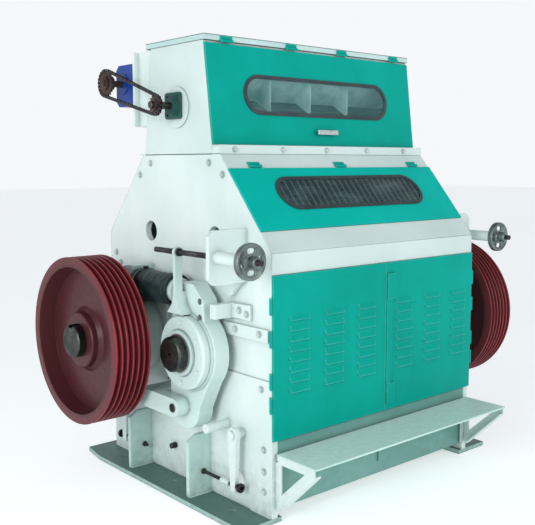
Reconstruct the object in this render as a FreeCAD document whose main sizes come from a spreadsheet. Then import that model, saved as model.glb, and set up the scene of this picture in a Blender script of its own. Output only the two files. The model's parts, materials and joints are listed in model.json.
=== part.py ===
"""Seed cracking machine with two fluted rolls under a feed hopper.

The frame: +X to the right, +Y to the back, +Z up. The origin is on the floor, midway
between the side frames and midway along their depth. All sizes are in millimetres.
The driven pulley of the rear roll is on the left and that of the front roll on the right.
"""
import FreeCAD, Part
import Sketcher
import math
import os

from FreeCAD import Placement, Rotation, Vector

os.makedirs("parts", exist_ok=True)
doc = FreeCAD.newDocument("SeedCrackingMachine")
sheet = doc.addObject("Spreadsheet::Sheet", "Dim")

SIZES = [
    # Side frames and floor plates
    ("frame_width", 1230, "outside of one side frame to outside of the other"),
    ("frame_top", 1413, "floor to the top of the side frames"),
    ("side_thick", 30, "plate of the side frames"),
    ("front_inset", 310, "how far the sloping front edge leans back"),
    ("front_slope_rise", 369, "height of the sloping front edge"),
    ("rear_inset", 297, "how far the sloping rear edge leans forward"),
    ("rear_slope_rise", 351, "height of the sloping rear edge"),
    ("base_thick", 20, "floor plates"),
    ("base_reach", 145, "floor plate outboard of its side frame"),
    ("base_inner", 50, "floor plate inboard of the frame's outer face"),
    ("base_tail", 52, "floor plate behind the side frame"),
    ("anchor_radius", 11, "anchor holes in the floor plates"),
    ("anchor_out", 58, "anchor holes outboard of the side frame"),
    ("anchor_pitch", 410, "anchor hole to the middle one, front to back"),
    ("gusset_thick", 20, "gussets on the floor plates"),
    ("gusset_back", 388, "front gussets behind the front edge"),
    ("rear_gusset_in", 318, "rear gussets before the back edge"),
    ("gusset_tall", 258, "gusset above the floor plate"),
    ("gusset_reach", 118, "gusset outboard of the side frame"),
    ("sight_radius", 44, "round sight holes in the side frames"),
    ("sight_drop", 331, "sight holes below the top of the side frames"),
    ("sight_spread", 231, "sight holes before and behind the middle"),
    # Rolls, shafts and pulleys
    ("roll_radius", 240, "both cracking rolls"),
    ("roll_side_gap", 25, "ends of the roll barrels to the side frames"),
    ("roll_gap", 4, "between the rolls at rest"),
    ("flute_count", 72, "flutes round a cracking roll"),
    ("flute_deep", 4, "depth of a flute"),
    ("front_clear", 131, "front roll's barrel behind the front edge"),
    ("rear_clear", 57, "rear roll's barrel before the back edge"),
    ("roll_up", 632, "floor to both roll axes"),
    ("shaft_radius", 70, "roll shafts"),
    ("shaft_play", 6, "roll shaft to the opening in the side frame"),
    ("bare_end_out", 209, "bare shaft ends outboard of the side frame"),
    ("drive_end_out", 380, "driven shaft ends outboard of the side frame"),
    ("pulley_radius", 355, "outside of the grooved rims"),
    ("pulley_out", 209, "pulleys outboard of the side frame"),
    ("groove_count", 6, "belt grooves of a pulley"),
    ("groove_pitch", 25.5, "one belt groove to the next"),
    ("groove_side", 17, "outer groove's middle to the rim's face"),
    ("groove_deep", 19, "depth of a belt groove"),
    ("groove_mouth", 20, "width of a belt groove at the rim"),
    ("groove_floor", 9, "width of a belt groove at its floor"),
    ("rim_thick", 42, "rim from groove tops to its inner wall"),
    ("web_in", 70, "pulley web behind the rim's outer face"),
    ("web_thick", 26, "pulley web"),
    ("hub_radius", 118, "pulley hub"),
    ("hub_in", 28, "pulley hub behind the rim's outer face"),
    ("key_width", 36, "shaft keys and keyways"),
    ("key_deep", 14, "keyway in the shaft"),
    ("ring_wide", 4, "retaining ring groove of the roll shafts"),
    ("ring_deep", 2, "retaining ring groove of the roll shafts"),
    ("keyway_long", 175, "keyway under a pulley"),
    # Swing arms, their pivots and the fixed rear housings
    ("arm_gap", 40, "swing arm outboard of the side frame"),
    ("arm_thick", 80, "bearing boss of a swing arm"),
    ("arm_eye_thick", 71, "pivot eye of a swing arm"),
    ("arm_radius", 165, "bearing boss of a swing arm"),
    ("eye_radius", 98, "pivot eye of a swing arm"),
    ("cover_radius", 150, "bearing cover"),
    ("cover_thick", 34, "bearing cover"),
    ("seal_radius", 90, "seal boss on a bearing cover"),
    ("seal_thick", 11, "seal boss on a bearing cover"),
    ("bearing_play", 0.05, "shaft to the covers and boss that it turns in"),
    ("pivot_behind", 41, "arm pivot behind the front roll's axis"),
    ("pivot_up", 401, "floor to the arm pivot"),
    ("pivot_radius", 18, "arm pivot pins"),
    ("pivot_play", 0.05, "pivot pin to the eye that turns on it"),
    ("link_half", 38, "half the height of the pivot link"),
    ("link_thick", 58, "pivot link"),
    ("link_end_behind", 284, "rear end of the pivot link behind the front roll's axis"),
    ("lug_behind", 29, "screw lug behind the front roll's axis"),
    ("lug_wide", 34, "screw lug along X"),
    ("lug_thick", 14, "screw lug along Y"),
    ("crown_up", 905, "floor to the top of the arm's body"),
    ("crown_front", 95, "front edge of the arm's body before the roll's axis, at the stop"),
    ("crown_rear", 107, "rear face of the arm's body behind the roll's axis"),
    ("arm_round", 26, "rounded corners of the arm's body"),
    ("casting_round", 5, "rounded outer rims of castings"),
    ("side_gap", 0.3, "faces of pieces that move past each other"),
    # Roll setting gear
    ("screw_out", 143, "setting screw outboard of the side frame"),
    ("screw_up", 1030, "floor to the setting screws"),
    ("screw_radius", 11, "setting screws"),
    ("screw_play", 2.2, "setting screw in the arm's lug and the bracket"),
    ("screw_tail", 151, "rear end of the screw behind the lug"),
    ("screw_nose", 112, "front end of the screw before the front edge"),
    ("bracket_back", 160, "rear face of the screw bracket behind the front edge"),
    ("bracket_thick", 20, "screw bracket plate"),
    ("bracket_wide", 182, "screw bracket outboard of the side frame"),
    ("bracket_drop", 105, "lower edge of the screw bracket below the screw"),
    ("bracket_rise", 100, "upper edge of the screw bracket above the screw"),
    ("tube_radius", 24, "tube in front of the screw bracket"),
    ("tube_long", 162, "tube in front of the screw bracket"),
    ("wheel_radius", 68, "handwheels"),
    ("wheel_rim", 24, "thickness of a handwheel rim"),
    ("wheel_hub", 21, "radius of a handwheel hub"),
    ("wheel_long", 70, "length of a handwheel hub"),
    # Buffer between rear housing and arm
    ("boot_radius", 69, "buffer boot"),
    ("boot_wall", 7, "rubber wall of the buffer boot"),
    ("boot_out", 80, "boot axis outboard of the side frame"),
    ("boot_up", 861, "floor to the boot axis"),
    ("boot_front_behind", 121, "front end of the boot behind the front roll's axis"),
    ("boot_seat_before", 67, "rear end of the boot before the rear roll's axis"),
    ("plunger_radius", 52, "plunger of the arm inside the boot"),
    ("plunger_long", 68, "plunger inside the boot"),
    # Slot for lifting the front roll out
    ("keeper_low", 712, "floor to the lower edge of the slot keeper"),
    ("keeper_high", 756, "floor to the upper edge of the slot keeper"),
    ("filler_gap", 18, "slot filler and keeper to the front roll's shaft"),
    ("stop_low", 777, "floor to the lower edge of the stop bracket"),
    ("stop_high", 838, "floor to the upper edge of the stop bracket"),
    ("stop_front_back", 109, "front end of the stop bracket behind the front edge"),
    ("stop_gap", 26, "stop block to the arm's body"),
    # Scrapers
    ("scraper_back", 172, "scraper shafts in from the front and the rear edge"),
    ("scraper_up", 323, "floor to the scraper shafts"),
    ("scraper_radius", 17, "scraper shafts"),
    ("lever_out", 36, "scraper lever outboard of the side frame"),
    ("lever_wide", 20, "scraper lever along X"),
    ("lever_down", 205, "scraper shaft down to its rod"),
    ("scraper_rod_radius", 7, "scraper rods"),
    # Hopper
    ("ledge_back", 303, "front ledge under the hopper behind the front edge"),
    ("ledge_tall", 36, "height of the ledges under the hopper"),
    ("ledge_thick", 5, "ledges under the hopper"),
    ("hopper_wall", 4, "hopper sheet"),
    ("hopper_front_back", 355, "hopper's lower front edge behind the front edge"),
    ("hopper_rear_in", 310, "hopper's lower rear edge before the back edge"),
    ("hopper_lean", 56, "how far the hopper's faces lean in over its height"),
    ("hopper_tall", 448, "height of the hopper above the side frames"),
    ("roof_front_back", 401, "roof's front rim behind the front edge"),
    ("roof_rear_in", 331, "roof's rear rim before the back edge"),
    ("roof_rise", 25, "depth of the roof's rim"),
    ("roof_over", 2, "roof beyond the hopper's sides"),
    ("inlet_long", 400, "feed inlet in the roof along X"),
    ("inlet_wide", 180, "feed inlet in the roof along Y"),
    ("panel_thick", 3, "sheet of doors and flaps"),
    ("panel_deep", 9, "folded rim of doors and flaps"),
    ("window_inset", 261, "centre of a window's round end in from the side"),
    ("window_radius", 76, "opening in the sheet at a window's round end"),
    ("rubber_lip", 7, "window rubber over the sheet on each side"),
    ("rubber_thick", 4, "lips of the window rubber"),
    ("rubber_wall", 5, "window rubber between sheet and glass"),
    ("fit_gap", 0.2, "clearance round the rubber and the glass"),
    ("glass_thick", 5, "window glass"),
    ("hopper_window_up", 207, "hopper window above the door's lower edge"),
    ("door_head_gap", 10, "hopper door's upper edge below the roof, along its face"),
    # Feed roll and its drive
    ("feed_rise", 199, "feed roll above the side frames"),
    ("feed_radius", 60, "feed roll"),
    ("feed_shaft_radius", 15, "feed roll shaft"),
    ("feed_shaft_play", 3, "feed shaft to the holes in the hopper's sides"),
    ("disc_radius", 84, "discs that close the hopper's ends round the feed shaft"),
    ("disc_thick", 8, "discs that close the hopper's ends"),
    ("bearing_plate", 108, "square of the feed bearings"),
    ("chain_out", 104, "chain outboard of the side frame"),
    ("chain_pitch", 15.875, "one chain roller to the next"),
    ("roller_radius", 5.08, "chain rollers"),
    ("tooth_wide", 9, "sprocket teeth along X"),
    ("link_half_tall", 7.2, "half the height of a chain link"),
    ("chain_plate", 3, "one side of the chain"),
    ("feed_teeth", 15, "teeth of the feed sprocket"),
    ("motor_teeth", 22, "teeth of the motor sprocket"),
    ("motor_shaft_back", 93, "gearbox shaft behind the gearbox face"),
    ("motor_rise", 114, "gearbox shaft above the feed roll"),
    ("motor_shaft_radius", 14, "gearbox shaft"),
    ("mount_gap", 50, "gearbox face behind the hopper's lower rear edge"),
    ("gearbox_wide", 148, "gearbox, front to back"),
    ("gearbox_tall", 182, "height of the gearbox"),
    ("gearbox_long", 170, "gearbox along X"),
    ("gearbox_out", 20, "gearbox outboard of the side frame"),
    ("motor_radius", 70, "motor barrel"),
    ("motor_long", 270, "motor barrel along X"),
    ("fin_tall", 9, "cooling fins of the motor"),
    ("fin_count", 20, "cooling fins of the motor"),
    # Doors and front sheets
    ("sheet_thick", 4, "front and rear cover sheets"),
    ("door_low", 328, "floor to the lower edge of the doors"),
    ("shoulder_band", 82, "front sheet between the doors and the slope"),
    ("door_split", 15, "door joint right of the middle"),
    ("door_clearance", 1, "between the doors and the pieces round them"),
    ("louvre_wide", 100, "one louvre"),
    ("louvre_pitch", 40, "one louvre to the next above it"),
    ("louvre_count", 8, "louvres in a column"),
    ("louvre_out", 9, "how far a louvre stands out"),
    ("louvre_tall", 24, "height of a louvre hood"),
    ("louvre_sheet", 2, "sheet of a louvre hood"),
    ("louvre_low", 505, "floor to the lowest louvres"),
    ("column_shift", 8, "louvres right of the middle of their door"),
    ("column_margin", 111, "outer louvre column in from the door's edge"),
    ("flap_low", 98, "lower edge of the flap up the slope"),
    ("upper_band", 80, "front sheet between the flap and the hopper, up the slope"),
    ("flap_window_shift", 20, "flap window above the middle of the flap"),
    ("hinge_radius", 6, "hinge barrels"),
    ("hinge_long", 62, "hinge barrels"),
    ("roof_hinge_inset", 108, "outer roof hinges in from the sides"),
    ("roof_hinge_inner", 154, "inner roof hinges from the middle"),
    ("flap_hinge_inset", 130, "outer flap hinges in from the sides"),
    ("flap_hinge_shift", 10, "flap hinges right of the middle"),
    # Step and sills
    ("step_up", 277, "floor to the top of the step"),
    ("step_gap", 8, "step tread before the side frames"),
    ("step_deep", 214, "step tread, front to back"),
    ("step_thick", 5, "step plate"),
    ("step_lip", 25, "folded rear edge of the step"),
    ("step_nose", 8, "folded front edge of the step"),
    ("step_inset", 17, "ends of the step in from the outside of the frames"),
    ("angle_leg", 32, "legs of the step brackets"),
    ("step_foot", 60, "floor to the foot of the step brackets"),
    ("sill_low", 52, "floor to the lower edge of the sills"),
    ("sill_tall", 270, "height of the sills"),
    ("sill_thick", 10, "sill plates"),
    ("sill_lip", 60, "folded lower edge of the sills"),
    ("seam_up", 150, "floor to the seam across the front sill"),
    ("seam_deep", 5, "front sill below its seam set back"),
    ("lifting_radius", 19, "lifting bars"),
    ("lifting_long", 118, "lifting bars outboard of the side frame"),
    ("lifting_back", 262, "lifting bars behind the front edge"),
    ("lifting_up", 340, "floor to the lifting bars"),
    # Inside the machine
    ("tray_thick", 4, "feed tray sheet"),
    ("tray_gap", 6, "feed tray to the feed roll"),
    ("chute_thick", 5, "discharge chute"),
    ("blade_gap", 11, "scraper blades to the rolls at rest"),
    ("blade_thick", 8, "scraper blades"),
]

for row, (alias, value, meaning) in enumerate(SIZES, start=1):
    sheet.set(f"A{row}", meaning)
    sheet.set(f"B{row}", str(value))
    sheet.setAlias(f"B{row}", alias)
doc.recompute()


class Formula:
    """A number together with the sheet expression that gives it."""

    def __init__(self, value, text):
        self.value = float(value)
        self.text = text

    def __float__(self):
        return self.value

    def __add__(self, other):
        return joined(self, "+", other)

    def __radd__(self, other):
        return joined(other, "+", self)

    def __sub__(self, other):
        return joined(self, "-", other)

    def __rsub__(self, other):
        return joined(other, "-", self)

    def __mul__(self, other):
        return joined(self, "*", other)

    def __rmul__(self, other):
        return joined(other, "*", self)

    def __truediv__(self, other):
        return joined(self, "/", other)

    def __neg__(self):
        return joined(0, "-", self)


def text_of(number):
    return number.text if isinstance(number, Formula) else str(number)


def joined(left, sign, right):
    a, b = float(left), float(right)
    value = {"+": a + b, "-": a - b, "*": a * b, "/": a / b if b else 0}[sign]
    return Formula(value, f"({text_of(left)} {sign} {text_of(right)})")


def root(number):
    return Formula(math.sqrt(float(number)), f"sqrt({text_of(number)})")


def slope_angle(run, rise):
    ratio = run / rise
    return Formula(math.degrees(math.atan(float(ratio))), f"(atan({ratio.text}) / 1 deg)")


class Sizes:
    """Reads the sheet's cells by their names."""

    def __getattr__(self, alias):
        return Formula(sheet.get(alias), f"Dim.{alias}")


D = Sizes()


def bind(target, path, number):
    target.setExpression(path, text_of(number))


def place(target, x=0, y=0, z=0, rotation=None):
    """Puts an object at a bound place, turned first by a fixed rotation."""
    target.Placement = Placement(Vector(), rotation or Rotation())
    bind(target, "Placement.Base.x", x)
    bind(target, "Placement.Base.y", y)
    bind(target, "Placement.Base.z", z)
    return target


TURN = {
    "X": Rotation(Vector(0, 1, 0), 90),
    "-X": Rotation(Vector(0, 1, 0), -90),
    "Y": Rotation(Vector(1, 0, 0), -90),
    "-Y": Rotation(Vector(1, 0, 0), 90),
    "Z": Rotation(),
}


def box(x, y, z, long, wide, tall):
    """A block from its low corner."""
    block = doc.addObject("Part::Box", "block")
    bind(block, "Length", long)
    bind(block, "Width", wide)
    bind(block, "Height", tall)
    return place(block, x, y, z)


def bar(axis, radius, length, x, y, z):
    """A round bar that starts at a point and runs along an axis."""
    round_bar = doc.addObject("Part::Cylinder", "bar")
    bind(round_bar, "Radius", radius)
    bind(round_bar, "Height", length)
    return place(round_bar, x, y, z, TURN[axis])


def hexagon(axis, radius, length, x, y, z):
    head = doc.addObject("Part::Prism", "hexagon")
    head.Polygon = 6
    bind(head, "Circumradius", radius)
    bind(head, "Height", length)
    return place(head, x, y, z, TURN[axis])


def cut(base, *tools):
    result = doc.addObject("Part::Cut", "cut")
    result.Base = base
    result.Tool = tools[0] if len(tools) == 1 else group(*tools)
    return result


def fuse(*pieces):
    result = doc.addObject("Part::MultiFuse", "joined")
    result.Shapes = list(pieces)
    result.Refine = True
    return result


def group(*pieces):
    result = doc.addObject("Part::Compound", "group")
    result.Links = list(pieces)
    return result


def mirrored(piece):
    """The same piece on the other side of the machine."""
    result = doc.addObject("Part::Mirroring", "mirrored")
    result.Source = piece
    result.Normal = Vector(1, 0, 0)
    return result


def pair(piece):
    return group(piece, mirrored(piece))


nodes = []


def node(name, piece):
    piece.Label = name
    nodes.append(piece)
    return piece


def new_body(name):
    return doc.addObject("PartDesign::Body", name)


def origin_feature(body, role):
    return [item for item in body.Origin.OriginFeatures if item.Role == role][0]


def new_sketch(body, role, offset=0):
    sketch = body.newObject("Sketcher::SketchObject", "profile")
    sketch.AttachmentSupport = [(origin_feature(body, role), "")]
    sketch.MapMode = "FlatFace"
    bind(sketch, "AttachmentOffset.Base.z", offset)
    return sketch


def bound_point(sketch, item, end, across, up):
    """Ties one point of a sketch to two formulas."""
    for kind, number in (("DistanceX", across), ("DistanceY", up)):
        index = sketch.addConstraint(Sketcher.Constraint(kind, -1, 1, item, end, float(number)))
        bind(sketch, f"Constraints[{index}]", number)


def polygon(sketch, points):
    """A closed outline of straight lines through points given by formulas."""
    first = sketch.GeometryCount
    places = [Vector(float(a), float(b), 0) for a, b in points]
    for start, end in zip(places, places[1:] + places[:1]):
        sketch.addGeometry(Part.LineSegment(start, end), False)
    count = len(points)
    for index, (across, up) in enumerate(points):
        follower = first + (index - 1) % count
        sketch.addConstraint(Sketcher.Constraint("Coincident", follower, 2, first + index, 1))
        bound_point(sketch, first + index, 1, across, up)


def circle(sketch, across, up, radius):
    centre = Vector(float(across), float(up), 0)
    item = sketch.addGeometry(Part.Circle(centre, Vector(0, 0, 1), float(radius)), False)
    bound_point(sketch, item, 3, across, up)
    index = sketch.addConstraint(Sketcher.Constraint("Radius", item, float(radius)))
    bind(sketch, f"Constraints[{index}]", radius)


def stadium(sketch, up, half, radius):
    """A closed slot outline centred across the sketch, level at a height."""
    top, low, high = float(up) + float(radius), float(up) - float(radius), float(up)
    end, r = float(half), float(radius)
    flat = Vector(0, 0, 1)
    right_end = Part.ArcOfCircle(Part.Circle(Vector(end, high, 0), flat, r), -math.pi / 2, math.pi / 2)
    left_end = Part.ArcOfCircle(Part.Circle(Vector(-end, high, 0), flat, r), math.pi / 2, 1.5 * math.pi)
    first = sketch.GeometryCount
    sketch.addGeometry(right_end, False)
    sketch.addGeometry(Part.LineSegment(Vector(end, top, 0), Vector(-end, top, 0)), False)
    sketch.addGeometry(left_end, False)
    sketch.addGeometry(Part.LineSegment(Vector(-end, low, 0), Vector(end, low, 0)), False)
    for step in range(4):
        following = first + (step + 1) % 4
        sketch.addConstraint(Sketcher.Constraint("Tangent", first + step, 2, following, 1))
    bound_point(sketch, first, 3, half, up)
    bound_point(sketch, first + 2, 3, -half, up)
    index = sketch.addConstraint(Sketcher.Constraint("Radius", first, r))
    bind(sketch, f"Constraints[{index}]", radius)


ROLES = {"X": "YZ_Plane", "Y": "XZ_Plane", "Z": "XY_Plane"}


def pad(body, axis, start, thick, outlines, circles=()):
    """Adds a plate square to an axis, from its low face towards the positive side."""
    sketch = new_sketch(body, ROLES[axis], -start if axis == "Y" else start)
    for points in outlines:
        polygon(sketch, points)
    for across, up, radius in circles:
        circle(sketch, across, up, radius)
    feature = body.newObject("PartDesign::Pad", "pad")
    feature.Profile = sketch
    feature.Reversed = axis == "Y"
    bind(feature, "Length", thick)
    return feature


def pocket(body, axis, start, thick, outlines, circles=()):
    """Cuts a recess square to an axis, from its low face towards the positive side."""
    sketch = new_sketch(body, ROLES[axis], -start if axis == "Y" else start)
    for points in outlines:
        polygon(sketch, points)
    for across, up, radius in circles:
        circle(sketch, across, up, radius)
    feature = body.newObject("PartDesign::Pocket", "pocket")
    feature.Profile = sketch
    feature.Reversed = axis != "Y"
    bind(feature, "Length", thick)
    return feature


def rows(body, features, role, length, count):
    """Repeats features in a straight row."""
    feature = body.newObject("PartDesign::LinearPattern", "row")
    feature.Originals = features
    feature.Direction = (origin_feature(body, role), [""])
    bind(feature, "Length", length)
    bind(feature, "Occurrences", count)
    body.Tip = feature
    return feature


def ring_of(body, features, role, count):
    """Repeats features round an axis."""
    feature = body.newObject("PartDesign::PolarPattern", "ring")
    feature.Originals = features
    feature.Axis = (origin_feature(body, role), [""])
    feature.Angle = 360
    bind(feature, "Occurrences", count)
    body.Tip = feature
    return feature


def rounded(body, radius, wanted):
    """Rounds the edges of a body so far that a test picks out."""
    doc.recompute()
    names = []
    for index, edge in enumerate(body.Tip.Shape.Edges, start=1):
        if wanted(edge):
            names.append(f"Edge{index}")
    base = body.Tip
    fillet = body.newObject("PartDesign::Fillet", "fillet")
    fillet.Base = (base, names)
    bind(fillet, "Radius", radius)
    return fillet


def stands_at(edge, corners):
    """Whether an edge runs along X through one of some corners, given across and up."""
    box_of = edge.BoundBox
    if box_of.YLength > 0.01 or box_of.ZLength > 0.01:
        return False
    return any(
        abs(box_of.YMin - float(y)) < 0.05 and abs(box_of.ZMin - float(z)) < 0.05 for y, z in corners
    )


def lies_in(edge, face):
    """Whether an edge lies in a face square to X."""
    box_of = edge.BoundBox
    return box_of.XLength < 0.01 and abs(box_of.XMin - face) < 0.05


def turned(name, profile):
    """A body turned about its own X axis from (along, radius) points."""
    body = new_body(name)
    sketch = new_sketch(body, "XY_Plane")
    polygon(sketch, profile)
    feature = body.newObject("PartDesign::Revolution", "turned")
    feature.Profile = sketch
    feature.ReferenceAxis = (sketch, ["H_Axis"])
    feature.Angle = 360
    return body


def rectangle(low_a, low_b, high_a, high_b):
    return [(low_a, low_b), (high_a, low_b), (high_a, high_b), (low_a, high_b)]


# Places that many pieces share
half_width = D.frame_width / 2
inner_face = half_width - D.side_thick
frame_depth = D.front_clear + 4 * D.roll_radius + D.roll_gap + D.rear_clear
front = -frame_depth / 2
back = frame_depth / 2
front_roll_y = front + D.front_clear + D.roll_radius
rear_roll_y = front_roll_y + 2 * D.roll_radius + D.roll_gap
roll_long = 2 * (inner_face - D.roll_side_gap)
opening_radius = D.shaft_radius + D.shaft_play
shoulder_up = D.frame_top - D.front_slope_rise
rear_shoulder_up = D.frame_top - D.rear_slope_rise
slope_long = root(D.front_inset * D.front_inset + D.front_slope_rise * D.front_slope_rise)
slope_lean = slope_angle(D.front_inset, D.front_slope_rise)
screw_x = half_width + D.screw_out
arm_face = half_width + D.arm_gap
arm_outer = arm_face + D.arm_thick
pivot_y = front_roll_y + D.pivot_behind
lug_y = front_roll_y + D.lug_behind
stop_rear = front_roll_y - D.crown_front - D.stop_gap
filler_rear = front_roll_y - D.shaft_radius - D.filler_gap
boot_front = front_roll_y + D.boot_front_behind
boot_rear = rear_roll_y - D.boot_seat_before
hopper_front = front + D.hopper_front_back
hopper_rear = back - D.hopper_rear_in
hopper_top = D.frame_top + D.hopper_tall
feed_y = (hopper_front + hopper_rear) / 2
feed_up = D.frame_top + D.feed_rise
motor_y = hopper_rear + D.mount_gap + D.motor_shaft_back
motor_up = feed_up + D.motor_rise
window_half = half_width - D.window_inset
door_high = shoulder_up - D.shoulder_band

# Side frames: one thick plate each, with the slot that lets the front roll out
def side_frame():
    body = new_body("side_frame")
    outline = [
        (front, D.base_thick),
        (back, D.base_thick),
        (back, rear_shoulder_up),
        (back - D.rear_inset, D.frame_top),
        (front + D.front_inset, D.frame_top),
        (front, shoulder_up),
    ]
    sights = [
        (-D.sight_spread, D.frame_top - D.sight_drop, D.sight_radius),
        (D.sight_spread, D.frame_top - D.sight_drop, D.sight_radius),
    ]
    scrapers = [
        (front + D.scraper_back, D.scraper_up, D.scraper_radius + D.pivot_play),
        (back - D.scraper_back, D.scraper_up, D.scraper_radius + D.pivot_play),
        (front + D.scraper_back + 38, D.scraper_up - D.lever_down, 42),
    ]
    rear_bore = [(rear_roll_y, D.roll_up, opening_radius)]
    pad(body, "X", inner_face, D.side_thick, [outline], sights + scrapers + rear_bore)
    slot = rectangle(
        front - 1, D.roll_up - opening_radius, front_roll_y, D.roll_up + opening_radius,
    )
    slot_end = (front_roll_y, D.roll_up, opening_radius)
    pocket(body, "X", inner_face - 1, D.side_thick + 2, [slot])
    pocket(body, "X", inner_face - 1, D.side_thick + 2, [], [slot_end])
    return body


right_frame = node("side_frame_right", side_frame())
node("side_frame_left", mirrored(right_frame))


# Floor plates with their gussets
def floor_plate():
    body = new_body("floor_plate")
    outline = [
        (half_width - D.base_inner, front),
        (half_width + D.base_reach, front),
        (half_width + D.base_reach, back - 90),
        (half_width + D.base_reach - 25, back + D.base_tail),
        (half_width - D.base_inner, back + D.base_tail),
    ]
    holes = [
        (half_width + D.anchor_out, row * D.anchor_pitch, D.anchor_radius) for row in (-1, 0, 1)
    ]
    pad(body, "Z", 0, D.base_thick, [outline], holes)
    return body


node("floor_plates", pair(floor_plate()))


def gusset(middle):
    body = new_body("gusset")
    outer = half_width + D.gusset_reach
    top = D.base_thick + D.gusset_tall
    outline = [
        (half_width, D.base_thick),
        (outer, D.base_thick),
        (outer, top - 26),
        (outer - 40, top),
        (half_width, top),
    ]
    rod_hole = (
        half_width + D.lever_out + D.lever_wide / 2,
        D.scraper_up - D.lever_down,
        D.scraper_rod_radius + 1,
    )
    pad(body, "Y", middle - D.gusset_thick / 2, D.gusset_thick, [outline], [rod_hole])
    return body


gusset_places = (front + D.gusset_back, back - D.rear_gusset_in)
node("gussets", group(*[pair(gusset(middle)) for middle in gusset_places]))


# Sills that tie the side frames together, with folded lower lips
def front_sill():
    """The upper band stands before the lower one, and a small tab bridges the seam."""
    upper = box(
        -inner_face, front, D.seam_up, 2 * inner_face, D.sill_thick,
        D.sill_low + D.sill_tall - D.seam_up,
    )
    lower = box(
        -inner_face, front + D.seam_deep, D.sill_low, 2 * inner_face, D.sill_thick,
        D.seam_up - D.sill_low + 1,
    )
    lip = box(-inner_face, front + D.seam_deep, D.sill_low, 2 * inner_face, D.sill_lip, D.sill_thick)
    tab = box(-11, front - 3, D.seam_up - 42, 12, D.sill_thick, 52)
    return fuse(upper, lower, lip, tab)


def rear_sill():
    start = back - D.sill_thick
    plate = box(-inner_face, start, D.sill_low, 2 * inner_face, D.sill_thick, D.sill_tall)
    lip = box(-inner_face, back - D.sill_lip, D.sill_low, 2 * inner_face, D.sill_lip, D.sill_thick)
    return fuse(plate, lip)


node("front_sill", front_sill())
node("rear_sill", rear_sill())

# Closing pieces of the roll slot and the stops of the swing arms
filler = box(
    inner_face + 2, front, D.roll_up - opening_radius, D.side_thick - 8, filler_rear - front,
    2 * opening_radius,
)
keeper_deep = 6
keeper = box(
    half_width, front + 12, D.keeper_low - keeper_deep, 10, filler_rear - front - 12,
    D.keeper_high - D.keeper_low + keeper_deep,
)
node("slot_keepers", group(pair(filler), pair(keeper)))

stop_plate = box(
    half_width, front + D.stop_front_back, D.stop_low, 14,
    stop_rear - front - D.stop_front_back, D.stop_high - D.stop_low,
)
stop_block = box(
    half_width, stop_rear - 34, D.stop_low + 2, D.arm_gap + 60, 34,
    D.stop_high - D.stop_low - 4,
)
node("arm_stops", pair(fuse(stop_plate, stop_block)))


# Cracking rolls: fluted barrels on stepped shafts
def fluted_barrel():
    """A barrel whose rim carries saw-toothed flutes, as one closed outline drawn out along X."""
    count = int(round(float(D.flute_count)))
    tip = float(D.roll_radius)
    valley = tip - float(D.flute_deep)
    step = 2 * math.pi / count
    corners = []
    for index in range(count):
        angle = index * step
        corners.append(Vector(0, tip * math.cos(angle), tip * math.sin(angle)))
        angle += 0.25 * step
        corners.append(Vector(0, valley * math.cos(angle), valley * math.sin(angle)))
    face = Part.Face(Part.makePolygon(corners + corners[:1]))
    bore = Part.Face(Part.Wire(Part.makeCircle(float(D.shaft_radius), Vector(), Vector(1, 0, 0))))
    ring = face.cut(bore)
    return ring.extrude(Vector(float(roll_long), 0, 0))


def barrel(name, y):
    piece = doc.addObject("Part::Feature", name)
    piece.Shape = fluted_barrel()
    place(piece, -roll_long / 2, y, D.roll_up)
    return piece


node("front_roll", barrel("front_barrel", front_roll_y))
node("rear_roll", barrel("rear_barrel", rear_roll_y))


def roll_shaft(side, y):
    """A shaft with its long driven end on one side and a ring groove behind its bare end."""
    bare = half_width + D.bare_end_out
    driven = half_width + D.drive_end_out
    groove = arm_outer + D.cover_thick + D.seal_thick + 2
    profile = [
        (-bare, 0),
        (-bare, D.shaft_radius - 5),
        (-bare + 5, D.shaft_radius),
        (-groove - D.ring_wide, D.shaft_radius),
        (-groove - D.ring_wide, D.shaft_radius - D.ring_deep),
        (-groove, D.shaft_radius - D.ring_deep),
        (-groove, D.shaft_radius),
        (driven - 5, D.shaft_radius),
        (driven, D.shaft_radius - 5),
        (driven, 0),
    ]
    shaft = turned("shaft", profile)
    seat = D.shaft_radius - D.key_deep
    pocket(
        shaft, "Z", seat, D.key_deep + 1,
        [rectangle(-bare - 1, -D.key_width / 2, -bare + 40, D.key_width / 2)],
    )
    pocket(
        shaft, "Z", seat, D.key_deep + 1,
        [rectangle(driven - D.keyway_long, -D.key_width / 2, driven + 1, D.key_width / 2)],
    )
    pocket(shaft, "X", -bare - 1, 26, [], [(0, 0, 9)])
    shaft_turn = Rotation() if side > 0 else Rotation(Vector(0, 0, 1), 180)
    return place(shaft, 0, y, D.roll_up, shaft_turn)


node("front_shaft", roll_shaft(1, front_roll_y))
node("rear_shaft", roll_shaft(-1, rear_roll_y))


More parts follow.
